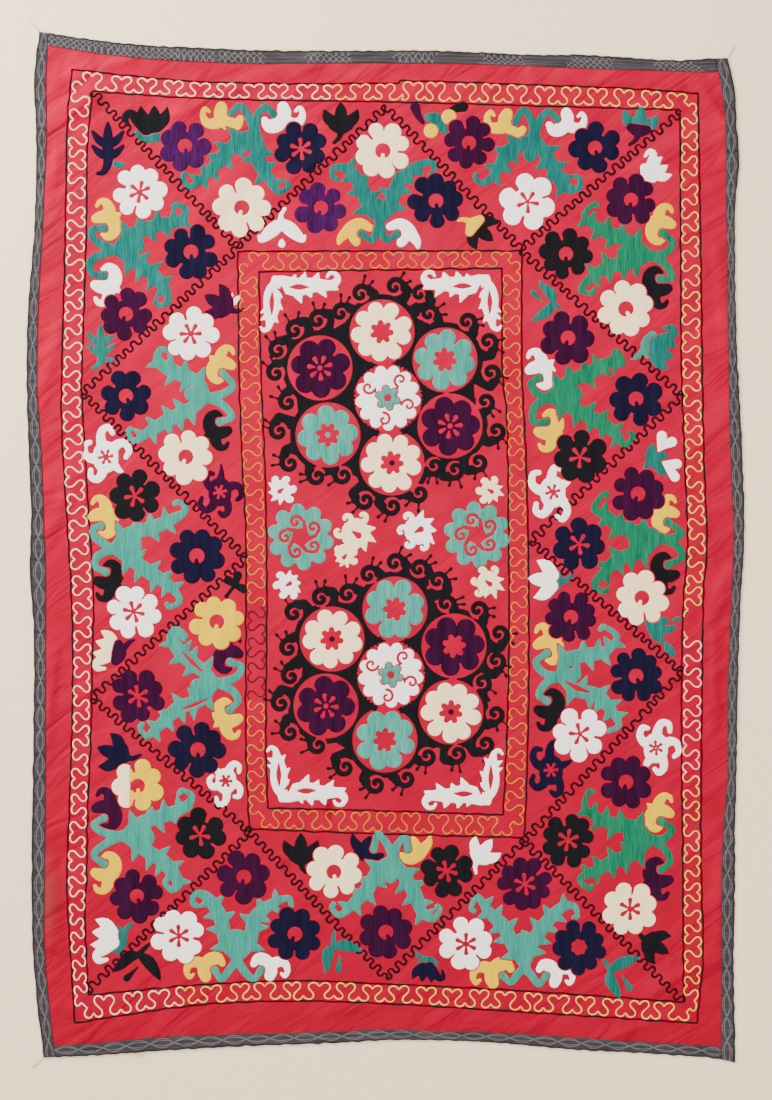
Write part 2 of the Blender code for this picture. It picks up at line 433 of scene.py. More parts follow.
def cotton_ground():
    """Soft plain-woven cotton: a red that is mottled by wear and washing, deeper towards the
    lower border, with brown stains at the left border, two spots of bled dye, painted shade along
    the grooves of the drag lines near the edges, and a fine weave."""
    cloth = Finish("red_cotton", roughness=0.85)
    cloth.shader.inputs["Specular IOR Level"].default_value = 0.02
    mottle = cloth.noise((9.0, 9.0, 9.0), 5.0, 0.6)
    red = cloth.between(mottle, MOTTLE_RED, CLOTH_RED, 0.3, 0.7)
    place = cloth.add("SeparateXYZ", _0=cloth.places["Object"])
    red = cloth.mix(cloth.scaled(place["Y"], (-1.1, 0.3), (0.7, 0.0)), red, LOWER_RED)
    threads = cloth.noise((900.0, 260.0, 1.0), 2.0)
    red = cloth.mix(cloth.sum("MULTIPLY", threads, 0.10), red, THREAD_RED)
    for at_x, at_y, reach_x, reach_y, strength, stain in STAINS:
        across = cloth.sum("DIVIDE", cloth.sum("SUBTRACT", place["X"], at_x), reach_x)
        along = cloth.sum("DIVIDE", cloth.sum("SUBTRACT", place["Y"], at_y), reach_y)
        away = cloth.sum("ADD", cloth.sum("POWER", across, 2.0), cloth.sum("POWER", along, 2.0))
        away = cloth.sum("ADD", away, cloth.sum("MULTIPLY", mottle, 1.2))
        soiled = cloth.scaled(away, (0.3, 1.7), (strength, 0.0), {"interpolation_type": "SMOOTHSTEP"})
        red = cloth.mix(soiled, red, stain)
    turned = cloth.add("Mapping", _0=cloth.places["Object"], Rotation=(0, 0, -DRAG_LEAN))
    pulled = cloth.add("Mapping", _0=turned[0], Scale=DRAG_SCALE)
    cloud = cloth.add("TexNoise", Vector=pulled[0], Scale=1.0, Detail=3.0, Roughness=0.5, Distortion=0.5)
    pull = cloud["Fac"]
    groove = cloth.sum("ABSOLUTE", cloth.sum("SUBTRACT", pull, 0.5))
    groove = cloth.sum("MINIMUM", cloth.sum("MULTIPLY", groove, 7.0), 1.0)
    across = cloth.sum("DIVIDE", cloth.sum("ABSOLUTE", place["X"]), cad_box[1][0])
    along = cloth.sum("DIVIDE", cloth.sum("ABSOLUTE", place["Y"]), cad_box[1][1])
    drawn = cloth.scaled(cloth.sum("MAXIMUM", across, along), (0.62, 0.92), (0.4, 1.0))
    # Painted shade: the red darkens along the grooves of the drag lines near the edges, where the creases
    # would lie in shade.
    painted_crease_shade = cloth.sum("MULTIPLY", cloth.sum("SUBTRACT", 1.0, groove), cloth.sum("MULTIPLY", drawn, 0.35))
    cloth.colour(cloth.mix(painted_crease_shade, red, CREASE_SHADE_RED))
    yarn = cloth.noise((1500.0, 1500.0, 1.0), 1.0)
    relief = cloth.sum("MULTIPLY", cloth.sum("ADD", groove, pull), drawn)
    cloth.weave(cloth.sum("MULTIPLY_ADD", yarn, 0.04, relief), 3.5 * MM, 0.8)
    return cloth.material


MOTTLE_RED = (0.33, 0.0004, 0.021, 1)
CLOTH_RED = (0.43, 0.0008, 0.030, 1)
LOWER_RED = (0.29, 0.0004, 0.0145, 1)
THREAD_RED = (0.52, 0.012, 0.045, 1)
# Painted shade for the grooves of the drag lines.
CREASE_SHADE_RED = (0.25, 0.0004, 0.012, 1)
# The drag lines: how far they lean, in radians, and how their noise is scaled along and across.
DRAG_LEAN = 0.62
DRAG_SCALE = (3.2, 13.0, 1.0)
BROWN_STAIN = srgb(120, 52, 48)
BLED_DYE = (0.15, 0.0003, 0.007, 1)
STAINS = [
    # x, y, reach across, reach along, strength, colour
    (-0.757, -0.760, 0.045, 0.110, 0.85, BROWN_STAIN),
    (-0.757, 0.700, 0.030, 0.120, 0.45, BROWN_STAIN),
    (-0.124, -0.578, 0.013, 0.036, 0.75, BLED_DYE),
    (-0.221, -0.700, 0.018, 0.022, 0.65, BLED_DYE),
]

across_share, along_share = [
    (lambda t: t - CROWDING * np.sin(2 * np.pi * t) / (2 * np.pi))(np.linspace(0, 1, cells + 1))
    for cells in CLOTH_CELLS
]
corner_y = [top_left[1], bottom_left[1], top_right[1], bottom_right[1]]
left_y = corner_y[0] + along_share * (corner_y[1] - corner_y[0])
right_y = corner_y[2] + along_share * (corner_y[3] - corner_y[2])
top_x = top_left[0] + across_share * (top_right[0] - top_left[0])
bottom_x = bottom_left[0] + across_share * (bottom_right[0] - bottom_left[0])
inset = TAPE_OVERHANG
plan = coons_patch(
    np.stack([left(left_y) + inset, left_y + np.linspace(-inset, inset, len(left_y))], 1),
    np.stack([right(right_y) - inset, right_y + np.linspace(-inset, inset, len(right_y))], 1),
    np.stack([top_x + np.linspace(inset, -inset, len(top_x)), top(top_x) - inset], 1),
    np.stack([bottom_x + np.linspace(inset, -inset, len(bottom_x)), bottom(bottom_x) + inset], 1),
    across_share,
    along_share,
)
plan -= MIDDLE
underside = np.concatenate([plan, lift(plan)[..., None]], axis=-1)
face = underside + (0, 0, CLOTH_THICKNESS)


def split(quads):
    """Two triangles for each quad."""
    return np.concatenate([quads[:, [0, 1, 2]], quads[:, [0, 2, 3]]])


def distance_along(path):
    """How far each point of a path lies from its start, along it."""
    return np.concatenate([[0], np.cumsum(np.linalg.norm(np.diff(path, axis=0), axis=1))])


def directions(path):
    """Unit steps along a flat path, and unit steps to the side of it, for each point."""
    ahead = np.gradient(path, axis=0)
    ahead /= np.maximum(np.linalg.norm(ahead, axis=1, keepdims=True), 1e-6)
    return ahead, np.stack([-ahead[:, 1], ahead[:, 0]], 1)


def read_off(places, at, line):
    """The points of a line at some places, where its own points are at known ones."""
    return np.stack([np.interp(places, at, line[:, k]) for k in (0, 1)], 1)


def rim_line(columns, rows):
    """Vertex numbers round the edge of a grid, anticlockwise from the top left corner."""
    down = np.arange(rows - 1)
    along_bottom = np.arange(columns - 1) * rows + rows - 1
    up = (columns - 1) * rows + np.arange(rows - 1, 0, -1)
    back = np.arange(columns - 1, 0, -1) * rows
    return np.concatenate([down, along_bottom, up, back])


# The face is a full grid, the underside has every second line of it, and the rim joins them.
lower = underside[::2, ::2]
first_lower = face.shape[0] * face.shape[1]
edge = rim_line(*face.shape[:2])
under_edge = np.repeat(rim_line(*lower.shape[:2]) + first_lower, 2)
edge_next, under_next = np.roll(edge, -1), np.roll(under_edge, -2)
even = np.arange(len(edge)) % 2 == 0
rim_faces = np.concatenate(
    [
        np.stack([edge, under_edge, edge_next], 1)[even],
        np.stack([edge, under_edge, under_next], 1)[~even],
        np.stack([edge, under_next, edge_next], 1)[~even],
    ]
)
ground = mesh_object(
    "ground_cloth_sheet",
    np.concatenate([face.reshape(-1, 3), lower.reshape(-1, 3)]),
    np.concatenate(
        [
            split(grid_faces(*face.shape[:2])),
            split(grid_faces(*lower.shape[:2], first=first_lower, flip=True)),
            rim_faces,
        ]
    ),
    cotton_ground(),
)
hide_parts("ground_cloth")

# The edge tape. Four lengths of dark cotton tape, woven with pale lines, sewn flat over the
# cloth's margin: the side lengths run the full height and the end lengths butt against them.
TAPE_THICKNESS = 1.2 * MM
SEAT_GAP = 0.3 * MM
TAPE_STATION = 5 * MM
LENS_LENGTH = 53 * MM
LATTICE_REPEAT = 192 * MM
LATTICE_PITCH = 14 * MM
LATTICE_START = 370 * MM
# The section of the tape, clockwise from its outer lower edge: share of the width, and height
# as a share of the thickness. The outer edge is a rolled fold and the rest lies flatter.
TAPE_SECTION = np.array(
    [(0, 0), (-0.01, 0.5), (0.02, 1), (0.1, 1), (0.14, 0.8), (0.5, 0.85), (0.94, 0.8), (1, 0.5), (1, 0)]
)


def tape_finish(name, lattice):
    """Charcoal tape with pale woven lines: nested lens shapes along the tape, or, on the top
    length, plain lines with groups of crossing ones. The UV map is metres along and share across."""
    tape = Finish(name, roughness=0.8)
    tape.shader.inputs["Specular IOR Level"].default_value = 0.08
    place = tape.add("SeparateXYZ", _0=tape.places["UV"])
    along, across = place["X"], place["Y"]
    off_middle = tape.sum("ABSOLUTE", tape.sum("SUBTRACT", across, 0.56))
    base = tape.noise((14.0, 120.0, 1.0), 3.0)
    charcoal = tape.between(base, (0.022, 0.019, 0.021, 1), (0.050, 0.044, 0.047, 1), 0.3, 0.7)
    swing = tape.sum("ABSOLUTE", tape.sum("SINE", tape.sum("MULTIPLY", along, np.pi / LENS_LENGTH)))
    lines = None
    for reach in (0.34, 0.2):
        gap = tape.sum("ABSOLUTE", tape.sum("MULTIPLY_ADD", swing, -reach, off_middle))
        near = tape.sum("LESS_THAN", gap, 0.022)
        lines = near if lines is None else tape.sum("MAXIMUM", lines, near)
    if lattice:
        group = tape.sum("SINE", tape.sum("MULTIPLY", along, 2 * np.pi / LATTICE_REPEAT))
        stray = tape.noise((9.0, 1.5, 1.0), 2.0, source="UV")
        group = tape.sum("MULTIPLY_ADD", stray, 2.4, tape.sum("SUBTRACT", group, 1.3))
        inside = tape.sum("GREATER_THAN", group, -0.1)
        inside = tape.sum("MAXIMUM", inside, tape.sum("LESS_THAN", along, LATTICE_START))
        crossing = None
        for lean in (2.0, -2.0):
            course = tape.sum("MULTIPLY_ADD", across, lean, tape.sum("DIVIDE", along, LATTICE_PITCH))
            course = tape.sum("MULTIPLY_ADD", stray, 1.1 * lean, course)
            near = tape.sum("LESS_THAN", tape.sum("FRACT", course), 0.15)
            crossing = near if crossing is None else tape.sum("MAXIMUM", crossing, near)
        rails = tape.sum("LESS_THAN", tape.sum("FRACT", tape.sum("MULTIPLY", across, 4.0)), 0.22)
        rails = tape.sum("MULTIPLY", rails, 0.3)
        lines = tape.add("Mix", _0=inside, _2=rails, _3=crossing)[0]
    broken = tape.noise((60.0, 9.0, 1.0), 2.0, source="UV")
    lines = tape.sum("MULTIPLY", lines, tape.sum("MULTIPLY_ADD", broken, 0.9, 0.1))
    middle = tape.sum("LESS_THAN", off_middle, 0.42)
    tone = tape.mix(tape.sum("MULTIPLY", lines, middle), charcoal, (0.21, 0.18, 0.18, 1))
    rim = tape.sum("LESS_THAN", across, 0.13)
    tone = tape.mix(tape.sum("MULTIPLY", rim, 0.6), tone, (0.010, 0.008, 0.008, 1))
    tape.colour(tone)
    tape.weave(tape.noise((900.0, 900.0, 1.0), 1.0), 0.2 * MM, 0.6)
    return tape.material


def section_along(outer, inner, base):
    """Rings of TAPE_SECTION between an outer and an inner line: point = outer + share of the
    way to inner, at the cloth's height there plus the base and the section's own height."""
    share = TAPE_SECTION[None, :, :1]
    points = outer[:, None] + share * (inner - outer)[:, None]
    height = lift(points) + base + TAPE_SECTION[None, :, 1] * TAPE_THICKNESS
    return np.concatenate([points, height[..., None]], axis=-1)


def edge_tape(name, node, outer, inner, finish):
    """One length of tape: the closed section carried along, with its two ends capped."""
    rings = section_along(outer - MIDDLE, inner - MIDDLE, CLOTH_THICKNESS + SEAT_GAP)
    count, ring = rings.shape[:2]
    corner = (np.arange(count - 1)[:, None] * ring + np.arange(ring)[None]).ravel()
    beside = (np.arange(count - 1)[:, None] * ring + np.roll(np.arange(ring), -1)[None]).ravel()
    walls = split(np.stack([corner, beside, beside + ring, corner + ring], 1))
    fan = np.stack([np.zeros(ring - 2, int), np.arange(1, ring - 1), np.arange(2, ring)], 1)
    faces = np.concatenate([walls, fan[:, ::-1], fan + (count - 1) * ring])
    u = distance_along(outer)[:, None] + np.zeros((1, ring))
    uv = np.stack([u, np.zeros((count, 1)) + TAPE_SECTION[None, :, 0]], -1).reshape(-1, 2)
    signed = np.cross(outer[1] - outer[0], inner[1] - outer[1])
    tape = mesh_object(name, rings.reshape(-1, 3), faces if signed < 0 else faces[:, ::-1], finish, uv)
    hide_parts(node)


def wobble(count, seed, size):
    """A slow random wander for the hand-sewn outer edge, made of a few sine waves."""
    draw = np.random.default_rng(seed)
    t = np.linspace(0, 1, count)[:, None]
    waves = draw.uniform(12, 70, 7)
    return size * np.sin(2 * np.pi * (waves * t + draw.uniform(0, 1, 7))).sum(1) / 2.6


def side_tape(name, node, outline, width, inward, upper, lower, upper_inner, lower_inner, seed):
    count = int(abs(upper - lower) / TAPE_STATION)
    outer_y = np.linspace(upper, lower, count)
    inner_y = np.linspace(upper_inner, lower_inner, count)
    outer = np.stack([outline(outer_y) - inward * wobble(count, seed, 0.7 * MM), outer_y], 1)
    inner = np.stack([outline(inner_y) + inward * width(inner_y), inner_y], 1)
    edge_tape(name, node, outer, inner, dark_tape)


def end_tape(name, node, outline, width, down, outer_ends, inner_ends, seed, finish):
    count = int(abs(outer_ends[1] - outer_ends[0]) / TAPE_STATION)
    outer_x = np.linspace(*outer_ends, count)
    inner_x = np.linspace(*inner_ends, count)
    outer = np.stack([outer_x, outline(outer_x) - down * wobble(count, seed, 0.7 * MM)], 1)
    inner = np.stack([inner_x, outline(inner_x) + down * width(inner_x)], 1)
    edge_tape(name, node, outer, inner, finish)


def seam_ends(side, side_width, inward, end, end_width, down, corner):
    """Where the end tape meets the side tape: x at the outer edge and x at the inner one, found
    by turns from y = end + end width and x = side + side width."""
    outer_x = side(corner[1]) + inward * side_width(corner[1])
    inner_x = outer_x
    for _ in range(6):
        inner_y = end(inner_x) + down * end_width(inner_x)
        inner_x = side(inner_y) + inward * side_width(inner_y)
    return outer_x, inner_x


dark_tape = tape_finish("charcoal_tape", lattice=False)
lattice_tape = tape_finish("lattice_tape", lattice=True)
left_top = seam_ends(left, left_width, 1, top, top_width, -1, top_left)
left_bottom = seam_ends(left, left_width, 1, bottom, bottom_width, 1, bottom_left)
right_top = seam_ends(right, right_width, -1, top, top_width, -1, top_right)
right_bottom = seam_ends(right, right_width, -1, bottom, bottom_width, 1, bottom_right)
side_tape("tape_left_length", "tape_left", left, left_width, 1, top_left[1], bottom_left[1],
          top(left_top[0]), bottom(left_bottom[0]), 3)
side_tape("tape_right_length", "tape_right", right, right_width, -1, top_right[1], bottom_right[1],
          top(right_top[0]), bottom(right_bottom[0]), 4)
end_tape("tape_top_length", "tape_top", top, top_width, -1, (left_top[0], right_top[0]),
         (left_top[1], right_top[1]), 5, lattice_tape)
end_tape("tape_bottom_length", "tape_bottom", bottom, bottom_width, 1,
         (left_bottom[0], right_bottom[0]), (left_bottom[1], right_bottom[1]), 6, dark_tape)

# The corner strings. Short free ends of the two-ply cotton thread that closes the corners,
# left long at three of them and lying on whatever the cloth lies on.
STRING_DIAMETER = 2.4 * MM
PLY_TWIST = 9 * MM
STRING_STATIONS = 60
STRING_SIDES = 12
STRING_ROUTES = {
    # node: (corner, points right and up from that corner in millimetres)
    "corner_string_top_left": (
        top_left,
        [(-0.3, 0.3), (-4.5, 5.5), (-9.5, 11), (-14, 16.5), (-18.5, 21.5), (-22, 25.5)],
    ),
    "corner_string_top_right": (
        top_right,
        [(0.3, 0.3), (3, 6), (5, 11.5), (7.5, 17), (11, 22.5), (15, 28)],
    ),
    "corner_string_bottom_left": (
        bottom_left,
        [(-0.3, -0.3), (-6, -4), (-11.5, -8.5), (-16, -13), (-21, -17), (-26, -20)],
    ),
}


def string_finish():
    """Undyed cotton, a little soiled, with its two plies shaded by the twist."""
    twine = Finish("undyed_cotton", roughness=0.9, sheen=0.2)
    fibre = twine.noise((1800.0, 1800.0, 1800.0), 2.0)
    twine.colour(twine.between(fibre, srgb(178, 150, 124), srgb(232, 212, 186), 0.3, 0.7))
    twine.weave(fibre, 0.2 * MM, 0.5)
    return twine.material


def twine_mesh(route):
    """A two-ply string along a route on the floor: radius times 0.84 plus 0.16 of the cosine of
    twice the angle round it, which turns by PLY_TWIST, capped with a point at each end."""
    at = distance_along(route)
    length = at[-1]
    fine = np.linspace(0, length, STRING_STATIONS)
    centre = read_off(fine, at, route)
    across = np.pad(directions(centre)[1], ((0, 0), (0, 1)))
    turn = np.linspace(0, 2 * np.pi, STRING_SIDES, endpoint=False)
    twist = 2 * (turn[None] - 2 * np.pi * fine[:, None] / PLY_TWIST)
    radius = STRING_DIAMETER / 2 * (0.84 + 0.16 * np.cos(twist))
    centre = np.concatenate([centre, np.full((STRING_STATIONS, 1), STRING_DIAMETER / 2)], 1)
    up = np.array([0, 0, 1.0])
    ring = np.cos(turn)[None, :, None] * across[:, None] + np.sin(turn)[None, :, None] * up
    points = centre[:, None] + radius[..., None] * ring
    first = np.arange(STRING_STATIONS - 1)[:, None] * STRING_SIDES
    around = np.arange(STRING_SIDES)
    following = np.roll(around, -1)
    corner, beside = (first + around).ravel(), (first + following).ravel()
    walls = split(np.stack([corner, beside, beside + STRING_SIDES, corner + STRING_SIDES], 1)[:, ::-1])
    start_point = STRING_STATIONS * STRING_SIDES
    last_ring = start_point - STRING_SIDES
    start = np.stack([np.full(STRING_SIDES, start_point), around, following], 1)
    end = np.stack([np.full(STRING_SIDES, start_point + 1), following + last_ring, around + last_ring], 1)
    vertices = np.concatenate([points.reshape(-1, 3), centre[:1], centre[-1:]])
    return vertices, np.concatenate([walls, start, end]), centre, length


undyed = string_finish()
for node, (corner, offsets) in STRING_ROUTES.items():
    vertices, faces, line, length = twine_mesh(corner - MIDDLE + np.array(offsets) * MM)
    twine = mesh_object(node + "_twine", vertices, faces, undyed)
    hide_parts(node)

# The black lines. Chain stitch in black cotton, worked by hand straight through the cloth: a
# plain line on each side of both scroll bands, and the wavy lines of the lozenges between.
PIXEL = 2.2 * MM
PHOTO_MIDDLE = np.array([385 + MIDDLE[0] / PIXEL, 546 - MIDDLE[1] / PIXEL])
STITCH_LENGTH = 3 * MM
# The wavy lines, in pixels: one wave's length, its reach to each side, how far it overhangs, and
# the step in which its leg is read.
WAVE_LENGTH = 10.8
WAVE_REACH = 3.5
WAVE_OVERHANG = 1.0
LEG_STEP = 0.5
# The section of a line of stitches: share of its half width, and share of its height.
STITCH_SECTION = np.array([(-1, -0.3), (-0.6, 0.85), (0.6, 0.85), (1, -0.3)])
OUTER_BAND_OUTSIDE = [
    # the four sides from the top left corner on, clockwise, and back to it
    [(72, 70), (212, 82.5), (386, 83.5), (411, 81), (558, 86), (632, 89), (698, 93.5)],
    [(698, 93.5), (700.6, 246), (703.6, 444), (707, 542), (703.6, 592), (702, 690), (701, 853),
     (703, 952), (697, 1023)],
    [(697, 1023), (534, 1012.6), (386, 1003.5), (295, 1001), (197, 1005), (75, 1022.5)],
    [(75, 1022.5), (71.4, 964), (67, 884), (69.7, 804), (72, 735), (73, 665), (71.4, 592),
     (67, 518), (62, 431), (62, 369), (64.5, 271), (66, 197), (67.7, 123), (72, 70)],
]
OUTER_BAND_INSIDE = [
    [(93, 91.6), (212, 99), (386, 102), (534, 106), (680, 110)],
    [(680, 110), (680.7, 246), (681.5, 369), (685, 468), (687.6, 542), (682.7, 616), (681.4, 739),
     (682.7, 853), (683.5, 1002)],
    [(683.5, 1002), (509, 990), (386, 984), (295, 980.6), (197, 985), (88.4, 995)],
    [(88.4, 995), (85, 915), (86.7, 878), (88, 804), (91, 735), (92.3, 665), (93.6, 592),
     (89, 518), (86, 468), (82, 395), (82, 369), (85, 283), (86.7, 222), (87.4, 148), (93, 91.6)],
]
INNER_BAND_OUTSIDE = [
    [(237.6, 251.6), (386, 251), (522, 251)],
    [(522, 251), (522, 369), (526, 456), (528.5, 555), (529, 665), (528, 735), (526, 804),
     (524, 837.6)],
    [(524, 837.6), (386, 834), (249.4, 829)],
    [(249.4, 829), (246, 739), (246, 542), (242.5, 468), (239, 370), (238.8, 320), (237.6, 251.6)],
]
INNER_BAND_INSIDE = [
    [(259, 272), (386, 270), (502, 268.5)],
    [(502, 268.5), (502.4, 370), (507, 419), (508.5, 518), (509, 653), (506, 760), (503, 815)],
    [(503, 815), (386, 811), (268, 808)],
    [(268, 808), (266, 739), (267, 580), (265, 468), (261, 370), (259, 272)],
]
WAVY_LINES = [
    [(93, 92), (237, 247), (386, 107), (521, 249), (681, 112)],
    [(237, 249), (82.5, 393), (246, 558), (92, 698), (250, 832), (88, 990)],
    [(250, 832), (386, 978), (524, 841), (683, 1002)],
    [(521, 251), (682, 396), (531, 541), (682, 672), (524, 841)],
]


def on_cloth(points, rise):
    """Points of the photograph laid on the face of the cloth, raised by a distance."""
    plan = (points - PHOTO_MIDDLE) * (PIXEL, -PIXEL)
    return np.concatenate([plan, (lift(plan) + CLOTH_THICKNESS + rise)[..., None]], axis=-1)


def even_steps(path, step):
    """The same path with its points a step apart, in pixels."""
    at = distance_along(path)
    return read_off(np.linspace(0, at[-1], max(int(at[-1] / step), 2) + 1), at, path)


def through(points, per_piece=8):
    """A smooth path through points, by Catmull-Rom pieces."""
    points = np.array(points, float)
    ends = np.concatenate([[2 * points[0] - points[1]], points, [2 * points[-1] - points[-2]]])
    t = np.linspace(0, 1, per_piece, endpoint=False)[None, :, None]
    a, b, c, d = [ends[k : len(ends) - 3 + k, None] for k in range(4)]
    piece = b + (c - a) * t / 2 + (2 * a - 5 * b + 4 * c - d) * t**2 / 2
    piece = piece + (3 * b - a - 3 * c + d) * t**3 / 2
    return np.concatenate([piece.reshape(-1, points.shape[1]), points[-1:]])


def wander(count, waves, seed):
    """A smooth random wander between about -1 and 1, made of five sine waves."""
    draw = np.random.default_rng(seed)
    turns = draw.uniform(0.3, 1.0, 5) * waves
    t = np.linspace(0, 1, count)[:, None]
    return np.sin(2 * np.pi * (turns * t + draw.uniform(0, 1, 5))).sum(1) / 2.2


def stitched_lines(name, paths, width, height, step, finish):
    """One piece of all the lines of a thread: STITCH_SECTION carried along each path, with the
    distance along it and the place across it as UV."""
    vertices, faces, uv, first = [], [], [], 0
    ring = len(STITCH_SECTION)
    for path in paths:
        path = even_steps(path, step)
        across = directions(path)[1]
        count = len(path)
        swell = 1 + 0.12 * wander(count, count / 9, count)
        reach = STITCH_SECTION[None, :, :1] * (width / PIXEL / 2 * swell)[:, None, None]
        points = path[:, None] + reach * across[:, None]
        vertices.append(on_cloth(points, STITCH_SECTION[None, :, 1] * height).reshape(-1, 3))
        quads = grid_faces(count, ring, first=first)
        cap = np.array([[0, 1, 2, 3]]) + first
        faces += [quads, cap, cap[:, ::-1] + (count - 1) * ring]
        along = np.arange(count)[:, None] * step * PIXEL + np.zeros((1, ring))
        side = np.zeros((count, 1)) + STITCH_SECTION[None, :, 0]
        uv.append(np.stack([along, side], -1).reshape(-1, 2))
        first += count * ring
    faces = split(np.concatenate(faces))
    line = mesh_object(name, np.concatenate(vertices), faces, finish, np.concatenate(uv))
    return line


def thread_finish(name, light, dark, gloss=0.1, sheen=0.05):
    """Cotton thread in chain stitch: two near shades, and a bump that rises and falls once in
    each stitch along the line."""
    thread = Finish(name, roughness=0.75, sheen=sheen)
    thread.shader.inputs["Specular IOR Level"].default_value = gloss
    shade = thread.noise((70.0, 70.0, 70.0), 3.0)
    thread.colour(thread.between(shade, dark, light, 0.35, 0.65))
    place = thread.add("SeparateXYZ", _0=thread.places["UV"])
    turn = thread.sum("MULTIPLY", place["X"], np.pi / STITCH_LENGTH)
    loop = thread.sum("ABSOLUTE", thread.sum("SINE", turn))
    thread.weave(loop, 0.4 * MM, 0.8)
    return thread


def wavy(points, seed):
    """A wave along a bent line: place = pitch times t less the overhang times the sine of 2t,
    and offset = reach times the sine of t, with both a little uneven."""
    leg = even_steps(np.array(points, float), LEG_STEP)
    across = directions(leg)[1]
    length = len(leg) * LEG_STEP
    waves = round(length / WAVE_LENGTH)
    t = np.linspace(0, 2 * np.pi * waves, waves * 20)
    place = length * t / t[-1] - WAVE_OVERHANG * np.sin(2 * t) + 0.8 * wander(len(t), waves / 3, seed)
    place = np.clip(place / LEG_STEP, 0, len(leg) - 1)
    offset = WAVE_REACH * np.sin(t) * (1 + 0.18 * wander(len(t), waves / 2, seed + 1))
    at = np.arange(len(leg))
    return read_off(place, at, leg) + offset[:, None] * read_off(place, at, across)


def wobbly(points, seed):
    """A line through points that the hand has let stray by a third of a pixel."""
    line = even_steps(through(points), 2.0)
    stray = np.stack([wander(len(line), len(line) / 9, seed + k) for k in (0, 1)], 1)
    return line + 0.35 * stray


BLACK = (0.006, 0.004, 0.005, 1)
black_thread = thread_finish("black_thread", (0.011, 0.006, 0.007, 1), BLACK, 0.03, 0).material
border_paths = [
    wobbly(side, 10 * number)
    for number, side in enumerate(
        OUTER_BAND_OUTSIDE + OUTER_BAND_INSIDE + INNER_BAND_OUTSIDE + INNER_BAND_INSIDE
    )
]
stitched_lines("black_border_lines", border_paths, 3.9 * MM, 0.6 * MM, 2.6, black_thread)
wavy_paths = []
for number, corners in enumerate(WAVY_LINES):
    for leg in range(len(corners) - 1):
        wavy_paths.append(wavy(corners[leg : leg + 2], 100 + 10 * number + leg))
stitched_lines("black_wavy_lines", wavy_paths, 5.2 * MM, 0.65 * MM, 1.1, black_thread)

# The two scrolls. A meander of chain stitch in cream and yellow cotton runs round the outer
# band, and a finer one in gold round the inner band. Each bend is drawn in to a heart.
HEART_PITCH = 28.0
# One heart, from crossing to crossing: places along and across the band, in pixels.
HEART = np.array(
    [(-7, 0), (-9.8, 3.4), (-9.7, 7.4), (-6.2, 9.6), (-2.2, 8.3), (0, 5.4), (2.2, 8.3), (6.2, 9.6),
     (9.7, 7.4), (9.8, 3.4)]
)
HEART_ROOM = 11.6
CORNER_GAP = 5.0
# How far down the photograph the missing link lies, and half its length.
MISSING_LINK = (624.0, 7.0)


def scroll(outside, inside, pitch, seed):
    """A meander round a band: a smooth path through the points of one heart after another, each
    second one turned over, set between the band's two lines. It starts anew at each corner."""
    pieces = []
    share = np.linspace(0, 1, 800)
    for number, pair in enumerate(zip(outside, inside)):
        outer, inner = [
            read_off(share, np.linspace(0, 1, len(line)), line)
            for line in [even_steps(through(line), 1.0) for line in pair]
        ]
        middle = (outer + inner) / 2
        outward = -directions(middle)[1]
        half = outward * ((outer - inner) * outward).sum(1, keepdims=True) / 2
        length = np.linalg.norm(np.diff(middle, axis=0), axis=1).sum()
        hearts = 2 * round(length / pitch) + 1
        turned = np.where(np.arange(hearts) % 2 == 0, 1, -1)[:, None]
        along = (np.arange(hearts)[:, None] + 0.5 + HEART[None, :, 0] / 14) / hearts
        along = CORNER_GAP + along * (length - 2 * CORNER_GAP)
        across = turned * HEART[None, :, 1] / HEART_ROOM
        path = np.stack([along.ravel(), across.ravel()], 1)
        path = np.concatenate([path, [(length - CORNER_GAP, 0)]])
        path = through(path, per_piece=5)
        path[:, 0] += 1.3 * wander(len(path), hearts / 3, seed + number)
        path[:, 1] *= 1 + 0.07 * wander(len(path), hearts / 1.5, seed + 7 + number)
        place = np.clip(path[:, 0] / length, 0, 1)
        pieces.append(read_off(place, share, middle) + path[:, 1:] * read_off(place, share, half))
    return np.concatenate(pieces)


def two_shades_by_place(finish, base, zones):
    """The thread has a base of two shades, light and dark, and others in zones: lowest and
    highest x and y, light shade, dark shade."""
    place = finish.add("SeparateXYZ", _0=finish.places["Object"])
    shade = finish.noise((40.0, 40.0, 40.0), 3.0)
    tone = finish.between(shade, base[1], base[0], 0.35, 0.65)
    for low_x, high_x, low_y, high_y, light, dark in zones:
        inside = None
        for axis, low, high in (("X", low_x, high_x), ("Y", low_y, high_y)):
            after = finish.sum("GREATER_THAN", place[axis], low)
            before = finish.sum("LESS_THAN", place[axis], high)
            both = finish.sum("MULTIPLY", after, before)
            inside = both if inside is None else finish.sum("MULTIPLY", inside, both)
        tone = finish.mix(inside, tone, finish.between(shade, dark, light, 0.35, 0.65))
    finish.colour(tone)
    return finish.material


YELLOW_SCROLL = ((0.80, 0.52, 0.07, 1), (0.72, 0.40, 0.04, 1))
CREAM_SCROLL = ((0.88, 0.64, 0.38, 1), (0.82, 0.52, 0.28, 1))
PINK_SCROLL = ((0.92, 0.52, 0.34, 1), (0.88, 0.40, 0.24, 1))
GOLD_SCROLL = ((0.56, 0.20, 0.0008, 1), (0.46, 0.13, 0.0006, 1))
MAROON_SCROLL = ((0.10, 0.006, 0.012, 1), (0.05, 0.004, 0.01, 1))
outer_finish = two_shades_by_place(
    thread_finish("scroll_thread", *YELLOW_SCROLL),
    YELLOW_SCROLL,
    [
        (-1, -0.12, -0.8, 2, *CREAM_SCROLL),
        (-1, -0.45, -2, -0.79, *CREAM_SCROLL),
        (0.5, 1, -0.51, -0.20, *PINK_SCROLL),
    ],
)
inner_finish = two_shades_by_place(
    thread_finish("gold_thread", *GOLD_SCROLL),
    GOLD_SCROLL,
    [(-1, -0.2, -0.336, -0.13, *MAROON_SCROLL)],
)
outer_scroll = scroll(OUTER_BAND_OUTSIDE, OUTER_BAND_INSIDE, HEART_PITCH, 300)
